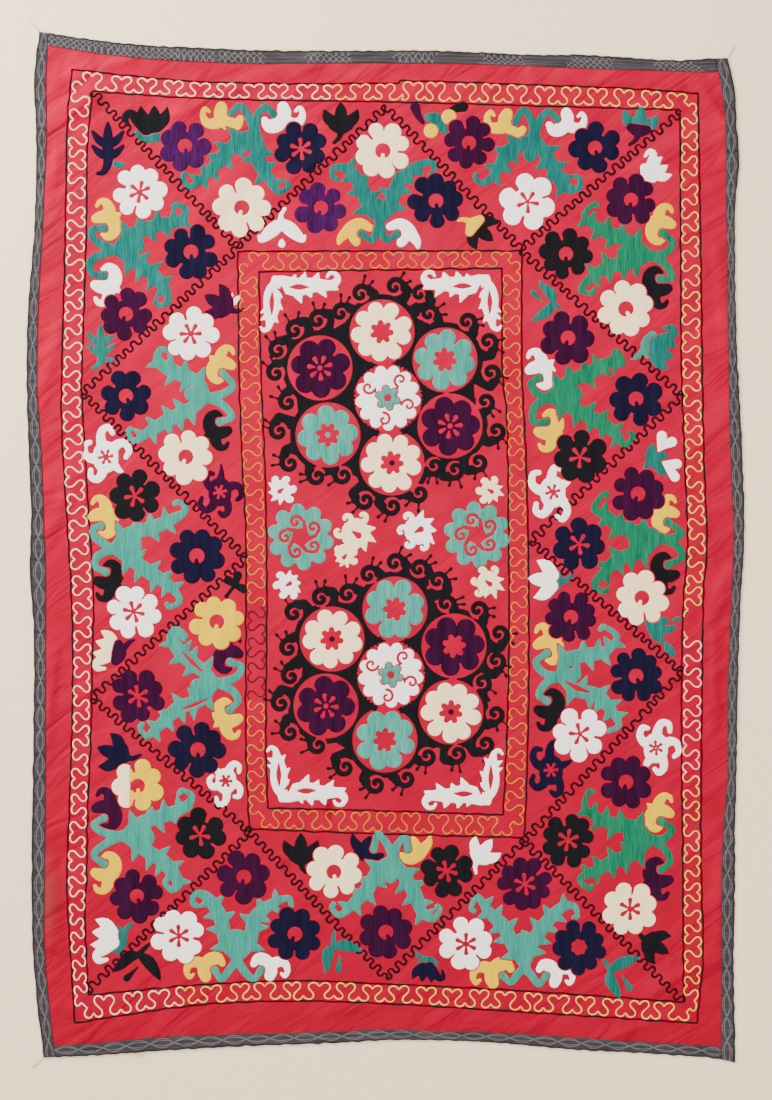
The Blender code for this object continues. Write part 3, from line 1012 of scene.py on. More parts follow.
inner_scroll = scroll(INNER_BAND_OUTSIDE, INNER_BAND_INSIDE, HEART_PITCH, 340)
# One link of it is missing, half way down the right side.
on_right = outer_scroll[:, 0] > PHOTO_MIDDLE[0]
gone = np.flatnonzero(on_right & (np.abs(outer_scroll[:, 1] - MISSING_LINK[0]) < MISSING_LINK[1]))
outer_pieces = [outer_scroll[: gone[0]], outer_scroll[gone[-1] + 1 :]]
stitched_lines("outer_scroll", outer_pieces, 3.5 * MM, 0.9 * MM, 1.4, outer_finish)
stitched_lines("inner_scroll", [inner_scroll], 3.2 * MM, 0.9 * MM, 1.4, inner_finish)

# The flowers. Rosettes of six to nine petals, each filled solid with long vertical stitches of
# soft untwisted cotton or silk, which stand a little proud of the cloth and round off at the edge.
BOARD_STEP = 0.95
BOARD_FROM = np.array([84.0, 82.0])
BOARD_CELLS = (645, 990)
OUTSIDE = -99.0
FILL_RISE = 0.9 * MM
FILL_SINK = 0.2 * MM
FILL_ROUNDING = 1.7
FILL_GLOSS = 0.04
# A petal's width as a share of its room, and how far a flower swells past its own radius.
PETAL_FILL = 1.07
FLOWER_SWELL = 1.02
MARGIN = 0.7

board_x = (BOARD_FROM[0] + BOARD_STEP * np.arange(BOARD_CELLS[0]))[:, None]
board_y = (BOARD_FROM[1] + BOARD_STEP * np.arange(BOARD_CELLS[1]))[None, :]


class Filling:
    """One colour of filled stitching, drawn on a lattice that covers the cloth: each point holds
    how many pixels it lies inside the nearest edge."""

    def __init__(self, name, finish):
        self.name = name
        self.finish = finish
        self.depth = np.full(BOARD_CELLS, OUTSIDE)

    def stroke(self, points, cut=False):
        """A stroke through (x, y, half width) points: depth = half width less the distance to
        the line, with both running evenly between the points. A cut takes it away instead."""
        points = np.atleast_2d(np.array(points, float))
        if len(points) == 1:
            points = np.repeat(points, 2, axis=0)
        for start, end in zip(points[:-1], points[1:]):
            widest = max(start[2], end[2]) + 4
            low = np.minimum(start[:2], end[:2]) - widest
            high = np.maximum(start[:2], end[:2]) + widest
            low = np.maximum(((low - BOARD_FROM) / BOARD_STEP).astype(int), 0)
            high = np.maximum(((high - BOARD_FROM) / BOARD_STEP).astype(int) + 2, 0)
            view = (slice(low[0], high[0]), slice(low[1], high[1]))
            x, y = board_x[view[0]], board_y[:, view[1]]
            run = end[:2] - start[:2]
            length = max(run @ run, 1e-9)
            share = np.clip(((x - start[0]) * run[0] + (y - start[1]) * run[1]) / length, 0, 1)
            away = np.hypot(x - start[0] - share * run[0], y - start[1] - share * run[1])
            depth = start[2] + share * (end[2] - start[2]) - away
            if cut:
                self.depth[view] = np.minimum(self.depth[view], -depth)
            else:
                self.depth[view] = np.maximum(self.depth[view], depth)

    def clear_of(self, other, gap=MARGIN):
        """Takes away what another filling covers, and a narrow gap beside it."""
        self.depth = np.minimum(self.depth, -other.depth - gap)

    def make(self):
        """The mesh of the filling. It keeps the lattice cells that lie inside the edge, draws
        their outer points onto it, and rises from just under the cloth's face to FILL_RISE."""
        depth = self.depth
        mean = (depth[:-1, :-1] + depth[1:, :-1] + depth[:-1, 1:] + depth[1:, 1:]) / 4
        kept = mean > 0
        slope_x, slope_y = np.gradient(depth, BOARD_STEP)
        steep = np.maximum(slope_x**2 + slope_y**2, 0.25)
        open_cell = np.pad(~kept, 1, constant_values=True)
        rim = open_cell[:-1, :-1] | open_cell[1:, :-1] | open_cell[:-1, 1:] | open_cell[1:, 1:]
        limit = 0.6 * BOARD_STEP
        shift_x = np.where(rim, np.clip(-depth * slope_x / steep, -limit, limit), 0)
        shift_y = np.where(rim, np.clip(-depth * slope_y / steep, -limit, limit), 0)
        column, row = np.nonzero(kept)
        rows = depth.shape[1]
        corner = column * rows + row
        quads = np.stack([corner, corner + rows, corner + rows + 1, corner + 1], 1)[:, ::-1]
        used, faces = np.unique(quads, return_inverse=True)
        faces = faces.reshape(-1, 4)
        points = np.stack([(board_x + shift_x).ravel()[used], (board_y + shift_y).ravel()[used]], 1)
        inside = np.where(rim, 0, np.maximum(depth, 0.3)).ravel()[used]
        roundness = np.sqrt(1 - (1 - np.clip(inside / FILL_ROUNDING, 0, 1)) ** 2)
        rise = FILL_RISE * roundness - FILL_SINK * (1 - roundness)
        piece = mesh_object(self.name, on_cloth(points, rise), split(faces), self.finish)
        return piece


def filling_finish(name, dark, light, streaks=0.5):
    """Long vertical stitches laid side by side: streaks of near shades that run up the cloth, a
    fine rib across them, and slow changes where a new thread was taken."""
    fill = Finish(name, roughness=0.7)
    fill.shader.inputs["Specular IOR Level"].default_value = FILL_GLOSS
    streak = fill.noise((330.0, 26.0, 1.0), 3.0)
    skein = fill.noise((60.0, 6.0, 1.0), 2.0)
    shade = fill.sum("MULTIPLY_ADD", streak, streaks, fill.sum("MULTIPLY", skein, 1 - streaks))
    fill.colour(fill.between(shade, dark, light, 0.32, 0.68))
    rib = fill.noise((900.0, 40.0, 1.0), 2.0)
    fill.weave(rib, 0.35 * MM, 0.7)
    return fill.material


finishes = {
    "white": filling_finish("white_cotton", (0.86, 0.74, 0.66, 1), (0.96, 0.92, 0.86, 1)),
    "cream": filling_finish("cream_cotton", (0.86, 0.62, 0.33, 1), (0.93, 0.76, 0.47, 1)),
    "yellow": filling_finish("yellow_cotton", (0.62, 0.35, 0.001, 1), (0.74, 0.47, 0.002, 1)),
    "navy": filling_finish("navy_cotton", (0.003, 0.002, 0.010, 1), (0.008, 0.006, 0.026, 1)),
    "purple": filling_finish("purple_cotton", (0.012, 0.0008, 0.010, 1), (0.036, 0.0025, 0.025, 1)),
    "violet": filling_finish("violet_silk", (0.016, 0.001, 0.020, 1), (0.052, 0.005, 0.066, 1), 0.7),
    "black": filling_finish("black_cotton", (0.004, 0.004, 0.0048, 1), (0.008, 0.0078, 0.009, 1)),
    "teal": filling_finish("teal_silk", (0.002, 0.062, 0.052, 1), (0.016, 0.155, 0.13, 1), 0.6),
    "mint": filling_finish("mint_silk", (0.006, 0.15, 0.11, 1), (0.05, 0.27, 0.21, 1), 0.6),
    "green": filling_finish("green_silk", (0.002, 0.075, 0.036, 1), (0.014, 0.18, 0.09, 1), 0.6),
}

FLOWERS = [
    # x, y, petals, colour, heart, radius
    (140, 192, 8, "white", "star", 27), (185, 146, 7, "violet", "round", 26),
    (301, 149, 8, "navy", "star", 27), (242, 208, 8, "cream", "round", 28),
    (321, 208, 7, "violet", "round", 26), (191, 252, 8, "navy", "round", 27),
    (126, 314, 8, "purple", "round", 26), (191, 334, 8, "white", "star", 27),
    (126, 396, 7, "navy", "round", 26), (186, 457, 8, "cream", "round", 27),
    (135, 496, 7, "black", "star", 26), (197, 556, 8, "navy", "round", 28),
    (134, 612, 8, "white", "star", 27), (217, 622, 8, "yellow", "round", 27),
    (138, 696, 8, "purple", "star", 27), (198, 750, 8, "navy", "round", 28),
    (138, 786, 7, "yellow", "round", 26), (200, 835, 7, "black", "star", 26),
    (244, 877, 7, "purple", "round", 27), (137, 896, 8, "purple", "round", 26),
    (179, 936, 8, "white", "star", 27), (295, 934, 8, "navy", "round", 27),
    (334, 872, 8, "cream", "round", 27), (386, 932, 8, "purple", "round", 27),
    (447, 871, 8, "black", "star", 26), (466, 944, 8, "white", "star", 27),
    (525, 884, 9, "purple", "star", 27), (579, 947, 9, "navy", "blossom", 27),
    (568, 840, 9, "black", "star", 27), (630, 909, 8, "cream", "star", 27),
    (626, 782, 8, "purple", "round", 27), (580, 734, 7, "white", "star", 27),
    (636, 676, 9, "navy", "round", 27), (571, 617, 9, "purple", "round", 26),
    (642, 598, 8, "cream", "round", 27), (579, 544, 7, "navy", "star", 26),
    (638, 494, 8, "purple", "round", 27), (580, 457, 7, "black", "star", 27),
    (636, 399, 7, "navy", "round", 27), (568, 338, 7, "purple", "round", 27),
    (626, 309, 8, "cream", "round", 28), (566, 254, 8, "black", "round", 26),
    (631, 200, 8, "purple", "round", 26), (528, 202, 6, "white", "star", 28),
    (595, 148, 7, "navy", "round", 26), (469, 143, 8, "purple", "round", 26),
    (436, 201, 8, "navy", "round", 27), (383, 151, 8, "cream", "round", 28),
]
flower_fillings = {
    colour: Filling("flowers_" + colour, finishes[colour])
    for colour in ("white", "cream", "yellow", "navy", "purple", "violet", "black")
}


def ray(x, y, angle, from_radius, to_radius, from_width, to_width):
    """A straight stroke away from a centre, from one radius to another."""
    step = np.array([np.cos(angle), np.sin(angle)])
    start = np.array([x, y]) + from_radius * step
    end = np.array([x, y]) + to_radius * step
    return [(*start, from_width), (*end, to_width)]


def flower(filling, x, y, petals, heart, radius, draw):
    """A rosette: petals that widen outwards round a disc, and a heart cut out of its middle."""
    reach = FLOWER_SWELL * radius / (1 + PETAL_FILL * np.sin(np.pi / petals))
    petal_width = reach * np.sin(np.pi / petals) * PETAL_FILL
    turn = draw.uniform(0, 2 * np.pi / petals)
    filling.stroke([(x, y, 0.54 * radius)])
    for petal in range(petals):
        angle = turn + 2 * np.pi * petal / petals + draw.uniform(-0.1, 0.1)
        length = reach + draw.uniform(-1.4, 1.4)
        width = petal_width * draw.uniform(0.92, 1.08)
        filling.stroke(ray(x, y, angle, 0.4 * radius, length, 0.58 * width, width))
    if heart == "star":
        drops = 6 if petals > 7 else 5
        for drop in range(drops):
            angle = turn + 2 * np.pi * drop / drops + draw.uniform(-0.1, 0.1)
            filling.stroke(ray(x, y, angle, 1.0, 0.34 * radius, 0.5, 2.1), cut=True)
    if heart == "round":
        filling.stroke([(x, y, 0.27 * radius)], cut=True)
        lean = draw.uniform(1.1, 2.0)
        filling.stroke(ray(x, y, lean, 9.0, 4.0, 2.8, 1.9))
    if heart == "blossom":
        for lobe in range(7):
            filling.stroke(ray(x, y, 2 * np.pi * lobe / 7, 0, 5.6, 2.4, 2.6), cut=True)


flower_draw = np.random.default_rng(17)
for x, y, petals, colour, heart, radius in FLOWERS:
    flower(flower_fillings[colour], x, y, petals, heart, radius, flower_draw)
# One yellow flower was begun in cream: its left side, up to a straight seam.
SEAM_X = 130.5
seam = np.broadcast_to(SEAM_X - board_x, BOARD_CELLS)
begun = (slice(25, 90), slice(705, 780))
yellow, cream = flower_fillings["yellow"].depth, flower_fillings["cream"].depth
cream[begun] = np.maximum(cream[begun], np.minimum(yellow[begun], seam[begun]))
yellow[begun] = np.minimum(yellow[begun], -seam[begun])
for filling in flower_fillings.values():
    filling.make()

# The leaf pairs. Two saw-edged leaves and two small hooks grow from one point between the
# flowers, in teal, green and mint silk, each leaf ending in a curl.
TOOTH_STEP = 15.5
TOOTH_LENGTH = 14.5
FIRST_TOOTH = 16.0
INNER_DELAY = 9.0
CURL_TURN = 1.25
CURL_END = 4.5
TIP_MARGIN = 24.0
TOOTH_LEAN = 0.22
LEAF_PAIRS = [
    # colour, joint, first hook, second hook, first leaf, second leaf
    ("teal", (255, 133), [(248, 115), (240, 106), (232, 113)], [(258, 115), (266, 107), (273, 114)],
     [(240, 140), (225, 155), (209, 172), (191, 187), (184, 179)],
     [(258, 145), (259, 162), (270, 180), (278, 192), (287, 188)]),
    ("teal", (380, 220), [(377, 232), (372, 240), (362, 234)], [(382, 232), (387, 240), (397, 234)],
     [(369, 208), (362, 188), (349, 170), (334, 168), (333, 176)],
     [(389, 208), (399, 183), (415, 168), (431, 162), (434, 170)]),
    ("teal", (534, 135), [(531, 119), (523, 110), (516, 122)], [(541, 119), (549, 112), (557, 119)],
     [(516, 148), (508, 152), (496, 172), (485, 183), (477, 180)],
     [(546, 155), (557, 175), (567, 188), (579, 188), (580, 180)]),
    ("green", (652, 256), [(665, 253), (673, 243), (663, 233)], [(665, 264), (672, 278), (660, 279)],
     [(632, 243), (609, 233), (596, 226), (584, 216), (592, 206)],
     [(635, 261), (612, 266), (596, 274), (581, 289), (590, 293)]),
    ("green", (547, 398), [(536, 393), (531, 383), (539, 378)], [(534, 408), (534, 422), (546, 422)],
     [(569, 382), (592, 372), (609, 362), (622, 364), (619, 354)],
     [(572, 408), (599, 422), (615, 433), (625, 445), (632, 438)]),
    ("green", (660, 539), [(672, 538), (682, 533), (668, 522)], [(675, 544), (682, 557), (668, 565)],
     [(649, 534), (622, 528), (605, 515), (594, 509), (602, 496)],
     [(642, 551), (619, 559), (605, 572), (594, 584), (602, 591)]),
    ("mint", (559, 677), [(544, 673), (536, 662), (547, 653)], [(546, 683), (539, 695), (547, 701)],
     [(567, 660), (586, 655), (605, 652), (617, 637), (606, 628)],
     [(576, 690), (596, 695), (612, 711), (619, 725), (610, 730)]),
    ("green", (652, 840), [(665, 838), (672, 829), (661, 821)], [(665, 849), (670, 862), (661, 870)],
     [(635, 827), (617, 825), (598, 818), (585, 807), (588, 794)],
     [(635, 853), (613, 862), (595, 871), (580, 879), (587, 887)]),
    ("mint", (525, 968), [(518, 974), (511, 982), (503, 976)], [(532, 976), (539, 984), (546, 976)],
     [(513, 945), (504, 927), (489, 912), (478, 897), (472, 906)],
     [(532, 945), (543, 927), (561, 908), (574, 906), (577, 914)]),
    ("mint", (393, 857), [(387, 844), (378, 834), (374, 849)], [(398, 844), (406, 838), (408, 849)],
     [(378, 871), (367, 890), (352, 905), (340, 915), (333, 909)],
     [(404, 875), (415, 894), (422, 912), (433, 919), (439, 911)]),
    ("mint", (237, 960), [(228, 972), (221, 979), (215, 970)], [(246, 973), (254, 979), (261, 970)],
     [(226, 942), (220, 916), (207, 897), (195, 894), (193, 902)],
     [(250, 942), (255, 919), (270, 905), (288, 898), (291, 906)]),
    ("mint", (122, 836), [(105, 833), (94, 825), (104, 818)], [(104, 845), (94, 855), (104, 864)],
     [(141, 823), (163, 816), (185, 807), (192, 796), (184, 791)],
     [(144, 849), (166, 864), (178, 882), (172, 890), (166, 884)]),
    ("mint", (217, 683), [(235, 678), (242, 667), (230, 662)], [(233, 691), (238, 701), (230, 710)],
     [(202, 670), (183, 655), (172, 638), (176, 629), (184, 634)],
     [(200, 700), (179, 708), (159, 726), (147, 736), (141, 729)]),
    ("mint", (112, 549), [(96, 538), (93, 529), (101, 526)], [(97, 557), (96, 567), (106, 572)],
     [(129, 534), (152, 528), (175, 518), (186, 510), (180, 503)],
     [(132, 560), (152, 574), (169, 585), (180, 600), (172, 606)]),
    ("mint", (208, 398), [(225, 393), (233, 385), (223, 373)], [(223, 405), (232, 417), (220, 422)],
     [(197, 382), (175, 372), (159, 362), (160, 350), (168, 351)],
     [(192, 408), (169, 420), (149, 432), (135, 441), (129, 434)]),
    ("teal", (114, 250), [(96, 241), (92, 230), (104, 228)], [(92, 260), (92, 273), (104, 276)],
     [(132, 235), (159, 225), (180, 221), (186, 210), (178, 205)],
     [(134, 261), (152, 274), (165, 289), (168, 302), (160, 305)]),
]


def leaf(filling, joint, points, other, draw):
    """A saw-edged leaf: a body that is widest near its foot and narrows to a curled end, and
    on both sides teeth that lean towards the tip, later on the side of the other leaf."""
    points = [np.array(point, float) for point in [joint] + points]
    before, last = points[-2] - points[-3], points[-1] - points[-2]
    bend = np.sign(before[0] * last[1] - before[1] * last[0])
    points[-1] = points[-2] + 1.15 * last
    heading = np.arctan2(last[1], last[0]) + CURL_TURN * bend
    points.append(points[-1] + CURL_END * np.array([np.cos(heading), np.sin(heading)]))
    path = through(points)
    share = np.linspace(0, 1, len(path))
    body = np.interp(share, (0, 0.15, 0.36, 0.5, 0.62, 0.8, 1), (3.8, 7.0, 7.4, 5.6, 3.6, 2.7, 2.9))
    filling.stroke(np.column_stack([path, body]))
    at = distance_along(path)
    ahead, across = directions(path)
    for side in (-1, 1):
        row = int(np.argmin(np.abs(at - FIRST_TOOTH)))
        inner = side * (across[row] @ (other - path[row])) > 0
        place = FIRST_TOOTH + draw.uniform(0, 5) + (INNER_DELAY if inner else 0)
        while place < at[-1] - TIP_MARGIN:
            row = int(np.argmin(np.abs(at - place)))
            outward = side * across[row]
            root = path[row] + 0.55 * body[row] * outward
            fade = 1 - 0.35 * place / at[-1]
            tip = path[row] + (body[row] + TOOTH_LENGTH * fade * 0.8) * outward
            tip = tip + TOOTH_LENGTH * TOOTH_LEAN * ahead[row]
            filling.stroke([(*root, 6.2 * fade), (*((root + tip) / 2), 3.5 * fade), (*tip, 0.35)])
            place += TOOTH_STEP * draw.uniform(0.9, 1.15)


leaf_fillings = {
    colour: Filling("leaves_" + colour, finishes[colour]) for colour in ("teal", "mint", "green")
}
leaf_draw = np.random.default_rng(29)
for colour, joint, first_hook, second_hook, first_leaf, second_leaf in LEAF_PAIRS:
    filling = leaf_fillings[colour]
    for hook in (first_hook, second_hook):
        path = through([joint] + hook)
        width = np.interp(np.linspace(0, 1, len(path)), (0, 0.5, 0.85, 1), (4.6, 3.9, 3.2, 4.1))
        filling.stroke(np.column_stack([path, width]))
    leaf(filling, joint, first_leaf, second_leaf[1], leaf_draw)
    leaf(filling, joint, second_leaf, first_leaf[1], leaf_draw)
    fork = np.array(joint) + 0.62 * (np.array(first_leaf[0]) + second_leaf[0] - 2 * np.array(joint))
    filling.stroke([(*joint, 6), (*fork, 7)])
LEAF_SLITS = [
    [(183, 652.5, 0.5), (192, 662, 2), (203, 672, 0.5)],
    [(183, 709, 0.5), (194, 705, 1.6), (207, 699.5, 0.8)],
    [(566.5, 682, 0.6), (577, 688, 2.6), (590, 692.5, 0.5)],
]
for slit in LEAF_SLITS:
    leaf_fillings["mint"].stroke(slit, cut=True)
for filling in leaf_fillings.values():
    for flowers in flower_fillings.values():
        filling.clear_of(flowers)
    filling.make()

# The two medallions. Six rosettes in red rings stand round a white one, on a ground of black
# cotton whose outer edge breaks into scrolls with small knobbed feelers on their backs.
RING_RADIUS = 32.4
GROUND_RADIUS = 38.0
HEAD_CLEARING = 9.0
SCROLL_SWEEP = 7.3
MEDALLIONS = [
    (
        (388, 398),
        [((382, 332), "cream", "blossom"), ((445, 360), "sea", "blossom"),
         ((450, 426), "purple", "star"), ((392, 463), "cream", "dotted"),
         ((328, 435), "sea", "dotted"), ((320, 368), "purple", "star")],
        [(295, 330), (318, 320), (341, 313), (361, 294), (395, 287), (420, 294), (429, 314),
         (467, 322), (488, 342), (491, 373), (485, 402), (496, 431), (478, 462), (455, 470),
         (434, 466), (419, 493), (392, 506), (365, 500), (343, 475), (317, 476), (290, 463),
         (279, 431), (288, 402), (276, 373), (278, 350)],
    ),
    (
        (391, 675),
        [((395, 609), "sea", "blossom"), ((454, 646), "purple", "blossom"),
         ((451, 712), "cream", "dotted"), ((385, 740), "sea", "blossom"),
         ((326, 706), "purple", "star"), ((332, 639), "cream", "dotted")],
        [(294, 613), (321, 598), (348, 594), (369, 575), (395, 563), (419, 569), (438, 581),
         (446, 604), (478, 610), (499, 634), (496, 661), (482, 683), (495, 714), (485, 744),
         (457, 754), (427, 756), (406, 778), (376, 784), (345, 767), (318, 745), (290, 732),
         (281, 703), (291, 676), (289, 648)],
    ),
]
finishes["sea"] = filling_finish("sea_cotton", (0.012, 0.16, 0.125, 1), (0.085, 0.33, 0.26, 1), 0.6)
medallion_black = Filling("medallion_ground", finishes["black"])
rosette_fillings = {
    colour: Filling("rosettes_" + colour, finishes[colour])
    for colour in ("white", "cream", "sea", "purple")
}


def curl(x, y, start, sweep, from_radius, to_radius, from_width, to_width, power=1.0, count=26):
    """A spiral stroke about a centre: radius = from_radius less its fall times the share of the
    sweep to a power, with the half width falling evenly."""
    share = np.linspace(0, 1, count)
    angle = start + sweep * share
    radius = from_radius + (to_radius - from_radius) * share**power
    width = from_width + (to_width - from_width) * share
    return np.stack([x + radius * np.cos(angle), y + radius * np.sin(angle), width], 1)


def polar(x, y, angle, radius, width):
    return (x + radius * np.cos(angle), y + radius * np.sin(angle), width)


def rosette(x, y, colour, heart, draw):
    """A big flower that fills its red ring, with a red blossom or star in the middle."""
    filling = rosette_fillings[colour]
    lobes = {"cream": 9, "sea": 8, "purple": 7}[colour]
    turn = draw.uniform(0, 1)
    filling.stroke([(x, y, 18)])
    for lobe in range(lobes):
        angle = turn + 2 * np.pi * lobe / lobes + draw.uniform(-0.07, 0.07)
        width = 22 * np.sin(np.pi / lobes) * draw.uniform(0.98, 1.10)
        reach = 30.6 - width + draw.uniform(-1.2, 0.6)
        filling.stroke(ray(x, y, angle, 12, reach, 0.7 * width, width))
    for lobe in range(7):
        angle = turn + 2 * np.pi * lobe / 7
        if heart == "star":
            filling.stroke(ray(x, y, angle, 5, 10.5, 0.6, 2.3), cut=True)
        else:
            filling.stroke([(x, y, 4.5), polar(x, y, angle, 9.2, 2.7)], cut=True)
    if heart == "star":
        filling.stroke([(x, y, 2.6)], cut=True)
    if heart == "dotted":
        dot = "purple" if colour == "cream" else "sea"
        rosette_fillings[dot].stroke([(x, y, 2.9)])


medallion_draw = np.random.default_rng(41)
for centre, rosettes, heads in MEDALLIONS:
    around = [place for place, colour, heart in rosettes]
    for place, following in zip(around, around[1:] + around[:1]):
        medallion_black.stroke([(*place, GROUND_RADIUS)])
        medallion_black.stroke([(*place, 27), (*following, 27)])
    medallion_black.stroke([(*centre, 42)])
    for hx, hy in heads:
        out = np.arctan2(hy - centre[1], hx - centre[0])
        root = np.array(polar(hx, hy, out + 1.9, 12, 0)[:2])
        nearest = min(around, key=lambda place: np.hypot(*(root - place)))
        rim = nearest + (root - nearest) * 34 / np.hypot(*(root - nearest))
        medallion_black.stroke([(*rim, 7.0), (*root, 6.5), polar(hx, hy, out + 1.35, 9.5, 4.4)])
    for hx, hy in heads:
        medallion_black.stroke([(hx, hy, HEAD_CLEARING)], cut=True)
    for hx, hy in heads:
        out = np.arctan2(hy - centre[1], hx - centre[0])
        medallion_black.stroke(curl(hx, hy, out + 1.75, -SCROLL_SWEEP, 8.6, 0.6, 3.2, 1.9, 1.35))
        for lean in (1.05, 0.45):
            turn = out + lean + medallion_draw.uniform(-0.12, 0.12)
            tip = 17.5 + medallion_draw.uniform(-1, 1)
            medallion_black.stroke(ray(hx, hy, turn, 10, tip - 2, 1.3, 0.9))
            medallion_black.stroke(ray(hx, hy, turn, tip - 1.6, tip, 1.6, 1.9))
    for place in around:
        medallion_black.stroke([(*place, RING_RADIUS)], cut=True)
    medallion_black.stroke([(*centre, 34.0)], cut=True)
    for number in range(len(around)):
        first, second = np.array(around[number]), np.array(around[(number + 1) % len(around)])
        toward = (first + second) / 2 - centre
        turn = np.arctan2(toward[1], toward[0])
        for lean in (-0.20, -0.07, 0.07, 0.20):
            foot = polar(*centre, turn + lean, 38, 2.2)
            medallion_black.stroke([foot, polar(*centre, turn + lean * 0.9, 31.5, 0.5)])
    for place, colour, heart in rosettes:
        rosette(*place, colour, heart, medallion_draw)
    white = rosette_fillings["white"]
    white.stroke([(*centre, 28)])
    for lobe in range(13):
        angle = 2 * np.pi * lobe / 13 + 0.1
        white.stroke(ray(*centre, angle, 20, 26.8, 5.5, 6.0))
    for angle in (-2.65, -0.95, 0.35, 1.75):
        x, y, _ = polar(*centre, angle, 22, 0)
        white.stroke(curl(x, y, angle + 2.9, 6.4, 7.0, 1.2, 1.15, 0.9), cut=True)
    for lobe in range(6):
        angle = 2 * np.pi * lobe / 6 + 0.3
        white.stroke([(*centre, 6), polar(*centre, angle, 9.3, 4.0)], cut=True)
        rosette_fillings["sea"].stroke([(*centre, 5.4), polar(*centre, angle, 9.3, 3.4)])
    rosette_fillings["sea"].stroke([(*centre, 3.6)], cut=True)

# The ornaments between the medallions, in the same filled stitching. Two scalloped scroll
# rosettes, small sprigs at their sides, and a notched white leaf bent round each corner.
SCROLL_ROSETTES = [(301, 537), (477, 535)]
for x, y in SCROLL_ROSETTES:
    sea = rosette_fillings["sea"]
    sea.stroke([(x, y, 27)])
    for lobe in range(10):
        angle = 2 * np.pi * lobe / 10 + 0.2
        sea.stroke(ray(x, y, angle, 22, 26.5, 7.4, 7.2))
    sea.stroke([(x, y, 8.5)], cut=True)
    for arm in range(5):
        angle = 2 * np.pi * arm / 5 - 1.9
        cx, cy, _ = polar(x, y, angle, 15.5, 0)
        sea.stroke([polar(x, y, angle + 0.9, 8, 2.2), polar(x, y, angle + 0.55, 15.5, 1.5)], cut=True)
        sea.stroke(curl(cx, cy, angle + 1.5, -6.6, 6.6, 1.1, 1.5, 1.1), cut=True)
SPRIGS = [
    # colour, x, y, size, turn: which way its broad leaves point
    ("white", 281, 491, 1.0, 2.5), ("white", 289, 584, 1.0, -0.6), ("cream", 491, 491, 0.95, 0.5),
    ("cream", 489, 583, 1.15, 0.6), ("cream", 357, 534, 1.5, 0.55), ("white", 419, 530, 1.4, -0.5),
    ("cream", 345, 557, 0.85, 2.2),
]


def sprig(filling, x, y, size, turn, draw):
    """A small notched bud: a disc with four broad leaning leaves, two curls on each side of
    them, and a slit heart."""
    filling.stroke([(x, y, 8 * size)])
    for leaf_number in range(4):
        angle = turn - 1.05 + 0.7 * leaf_number
        foot = polar(x, y, angle, 6.0 * size, 4.0 * size)
        tip = polar(x, y, angle + 0.2, 14.5 * size * draw.uniform(0.88, 1.1), 0.4)
        filling.stroke([foot, tip])
    for side in (-1, 1):
        for lean in (1.85, 2.75):
            cx, cy, _ = polar(x, y, turn + side * lean, 12.2 * size, 0)
            start = turn + side * (lean + np.pi - 0.45)
            filling.stroke(curl(cx, cy, start, side * 5.0, 4.7 * size, 1.0, 2.5 * size, 1.6, count=16))
    slit = [polar(x, y, turn + 0.2, 1.5 * size, 2.1 * size), polar(x, y, turn + 3.1, 3 * size, 0.9)]
    filling.stroke(slit, cut=True)


for colour, x, y, size, turn in SPRIGS:
    sprig(rosette_fillings[colour], x, y, size, turn, medallion_draw)

CORNER_LEAVES = [
    # the corner's x, y, and which way its arms run: across, down
    (260, 270, 1, 1), (502, 269, -1, 1), (267, 808, 1, -1), (503, 811, -1, -1),
]
# The leaf in its own corner, in pixels along the two arms: strokes, then slits that are cut.
CORNER_STROKES = [
    [(15, 9, 3), (22, 12, 6.5), (30, 16, 9), (40, 17, 9), (52, 15.5, 7.5), (64, 15.5, 6), (73, 15.5, 5)],
    [(15, 9, 3.5), (14, 14, 4), (12, 20, 6), (12, 28, 8.5), (12, 36, 8.5), (11, 45, 6.5), (10, 52, 4.2),
     (8.5, 58, 2.9), (4, 60.5, 2.3), (0.5, 57, 1.5)],
    [(73, 15, 5), (78, 9.5, 3.4), (75.5, 3.8, 2.4), (70, 3.4, 2.1), (67.3, 7, 1.6)],
]
CORNER_TEETH = [
    [(33, 11, 4), (36, 4, 0.4)], [(43, 11, 5), (45.5, 2, 0.4)], [(56, 10, 4.5), (58.7, 2.5, 0.4)],
    [(37, 22, 6), (42, 34, 0.4)], [(48, 20, 5), (52, 28.5, 0.4)], [(61, 19, 5), (67, 28, 0.4)],
    [(72, 17, 4), (79.5, 20, 0.4)], [(17, 24, 4), (24, 29, 0.4)], [(17, 34, 4), (23.5, 40.5, 0.4)],
    [(13, 46, 4), (19, 54, 0.4)], [(6, 40, 3), (0, 43.5, 0.4)], [(6, 47, 3), (0, 50.5, 0.4)],
]
CORNER_SLITS = [
    [(30, 17.3, 0.4), (39, 17, 2.7), (49, 17.5, 0.4)],
    [(12.5, 22, 0.4), (12, 33, 2.3), (12, 45, 0.4)],
    [(21.4, 17, 0.8), (24, 25, 1.8), (26.5, 33, 2.2)],
]
white = rosette_fillings["white"]
for corner_x, corner_y, run_across, run_down in CORNER_LEAVES:
    for strokes, cut in ((CORNER_STROKES + CORNER_TEETH, False), (CORNER_SLITS, True)):
        for stroke in strokes:
            rows = through(stroke, 4)
            rows[:, 2] = np.maximum(rows[:, 2], 0.3)
            rows[:, 0] = corner_x + run_across * rows[:, 0]
            rows[:, 1] = corner_y + run_down * rows[:, 1]
            white.stroke(rows, cut=cut)
for colour in ("white", "cream"):
    rosette_fillings["sea"].clear_of(rosette_fillings[colour])
    medallion_black.clear_of(rosette_fillings[colour])
rosette_fillings["cream"].clear_of(rosette_fillings["white"])
for filling in rosette_fillings.values():
    filling.make()
medallion_black.make()

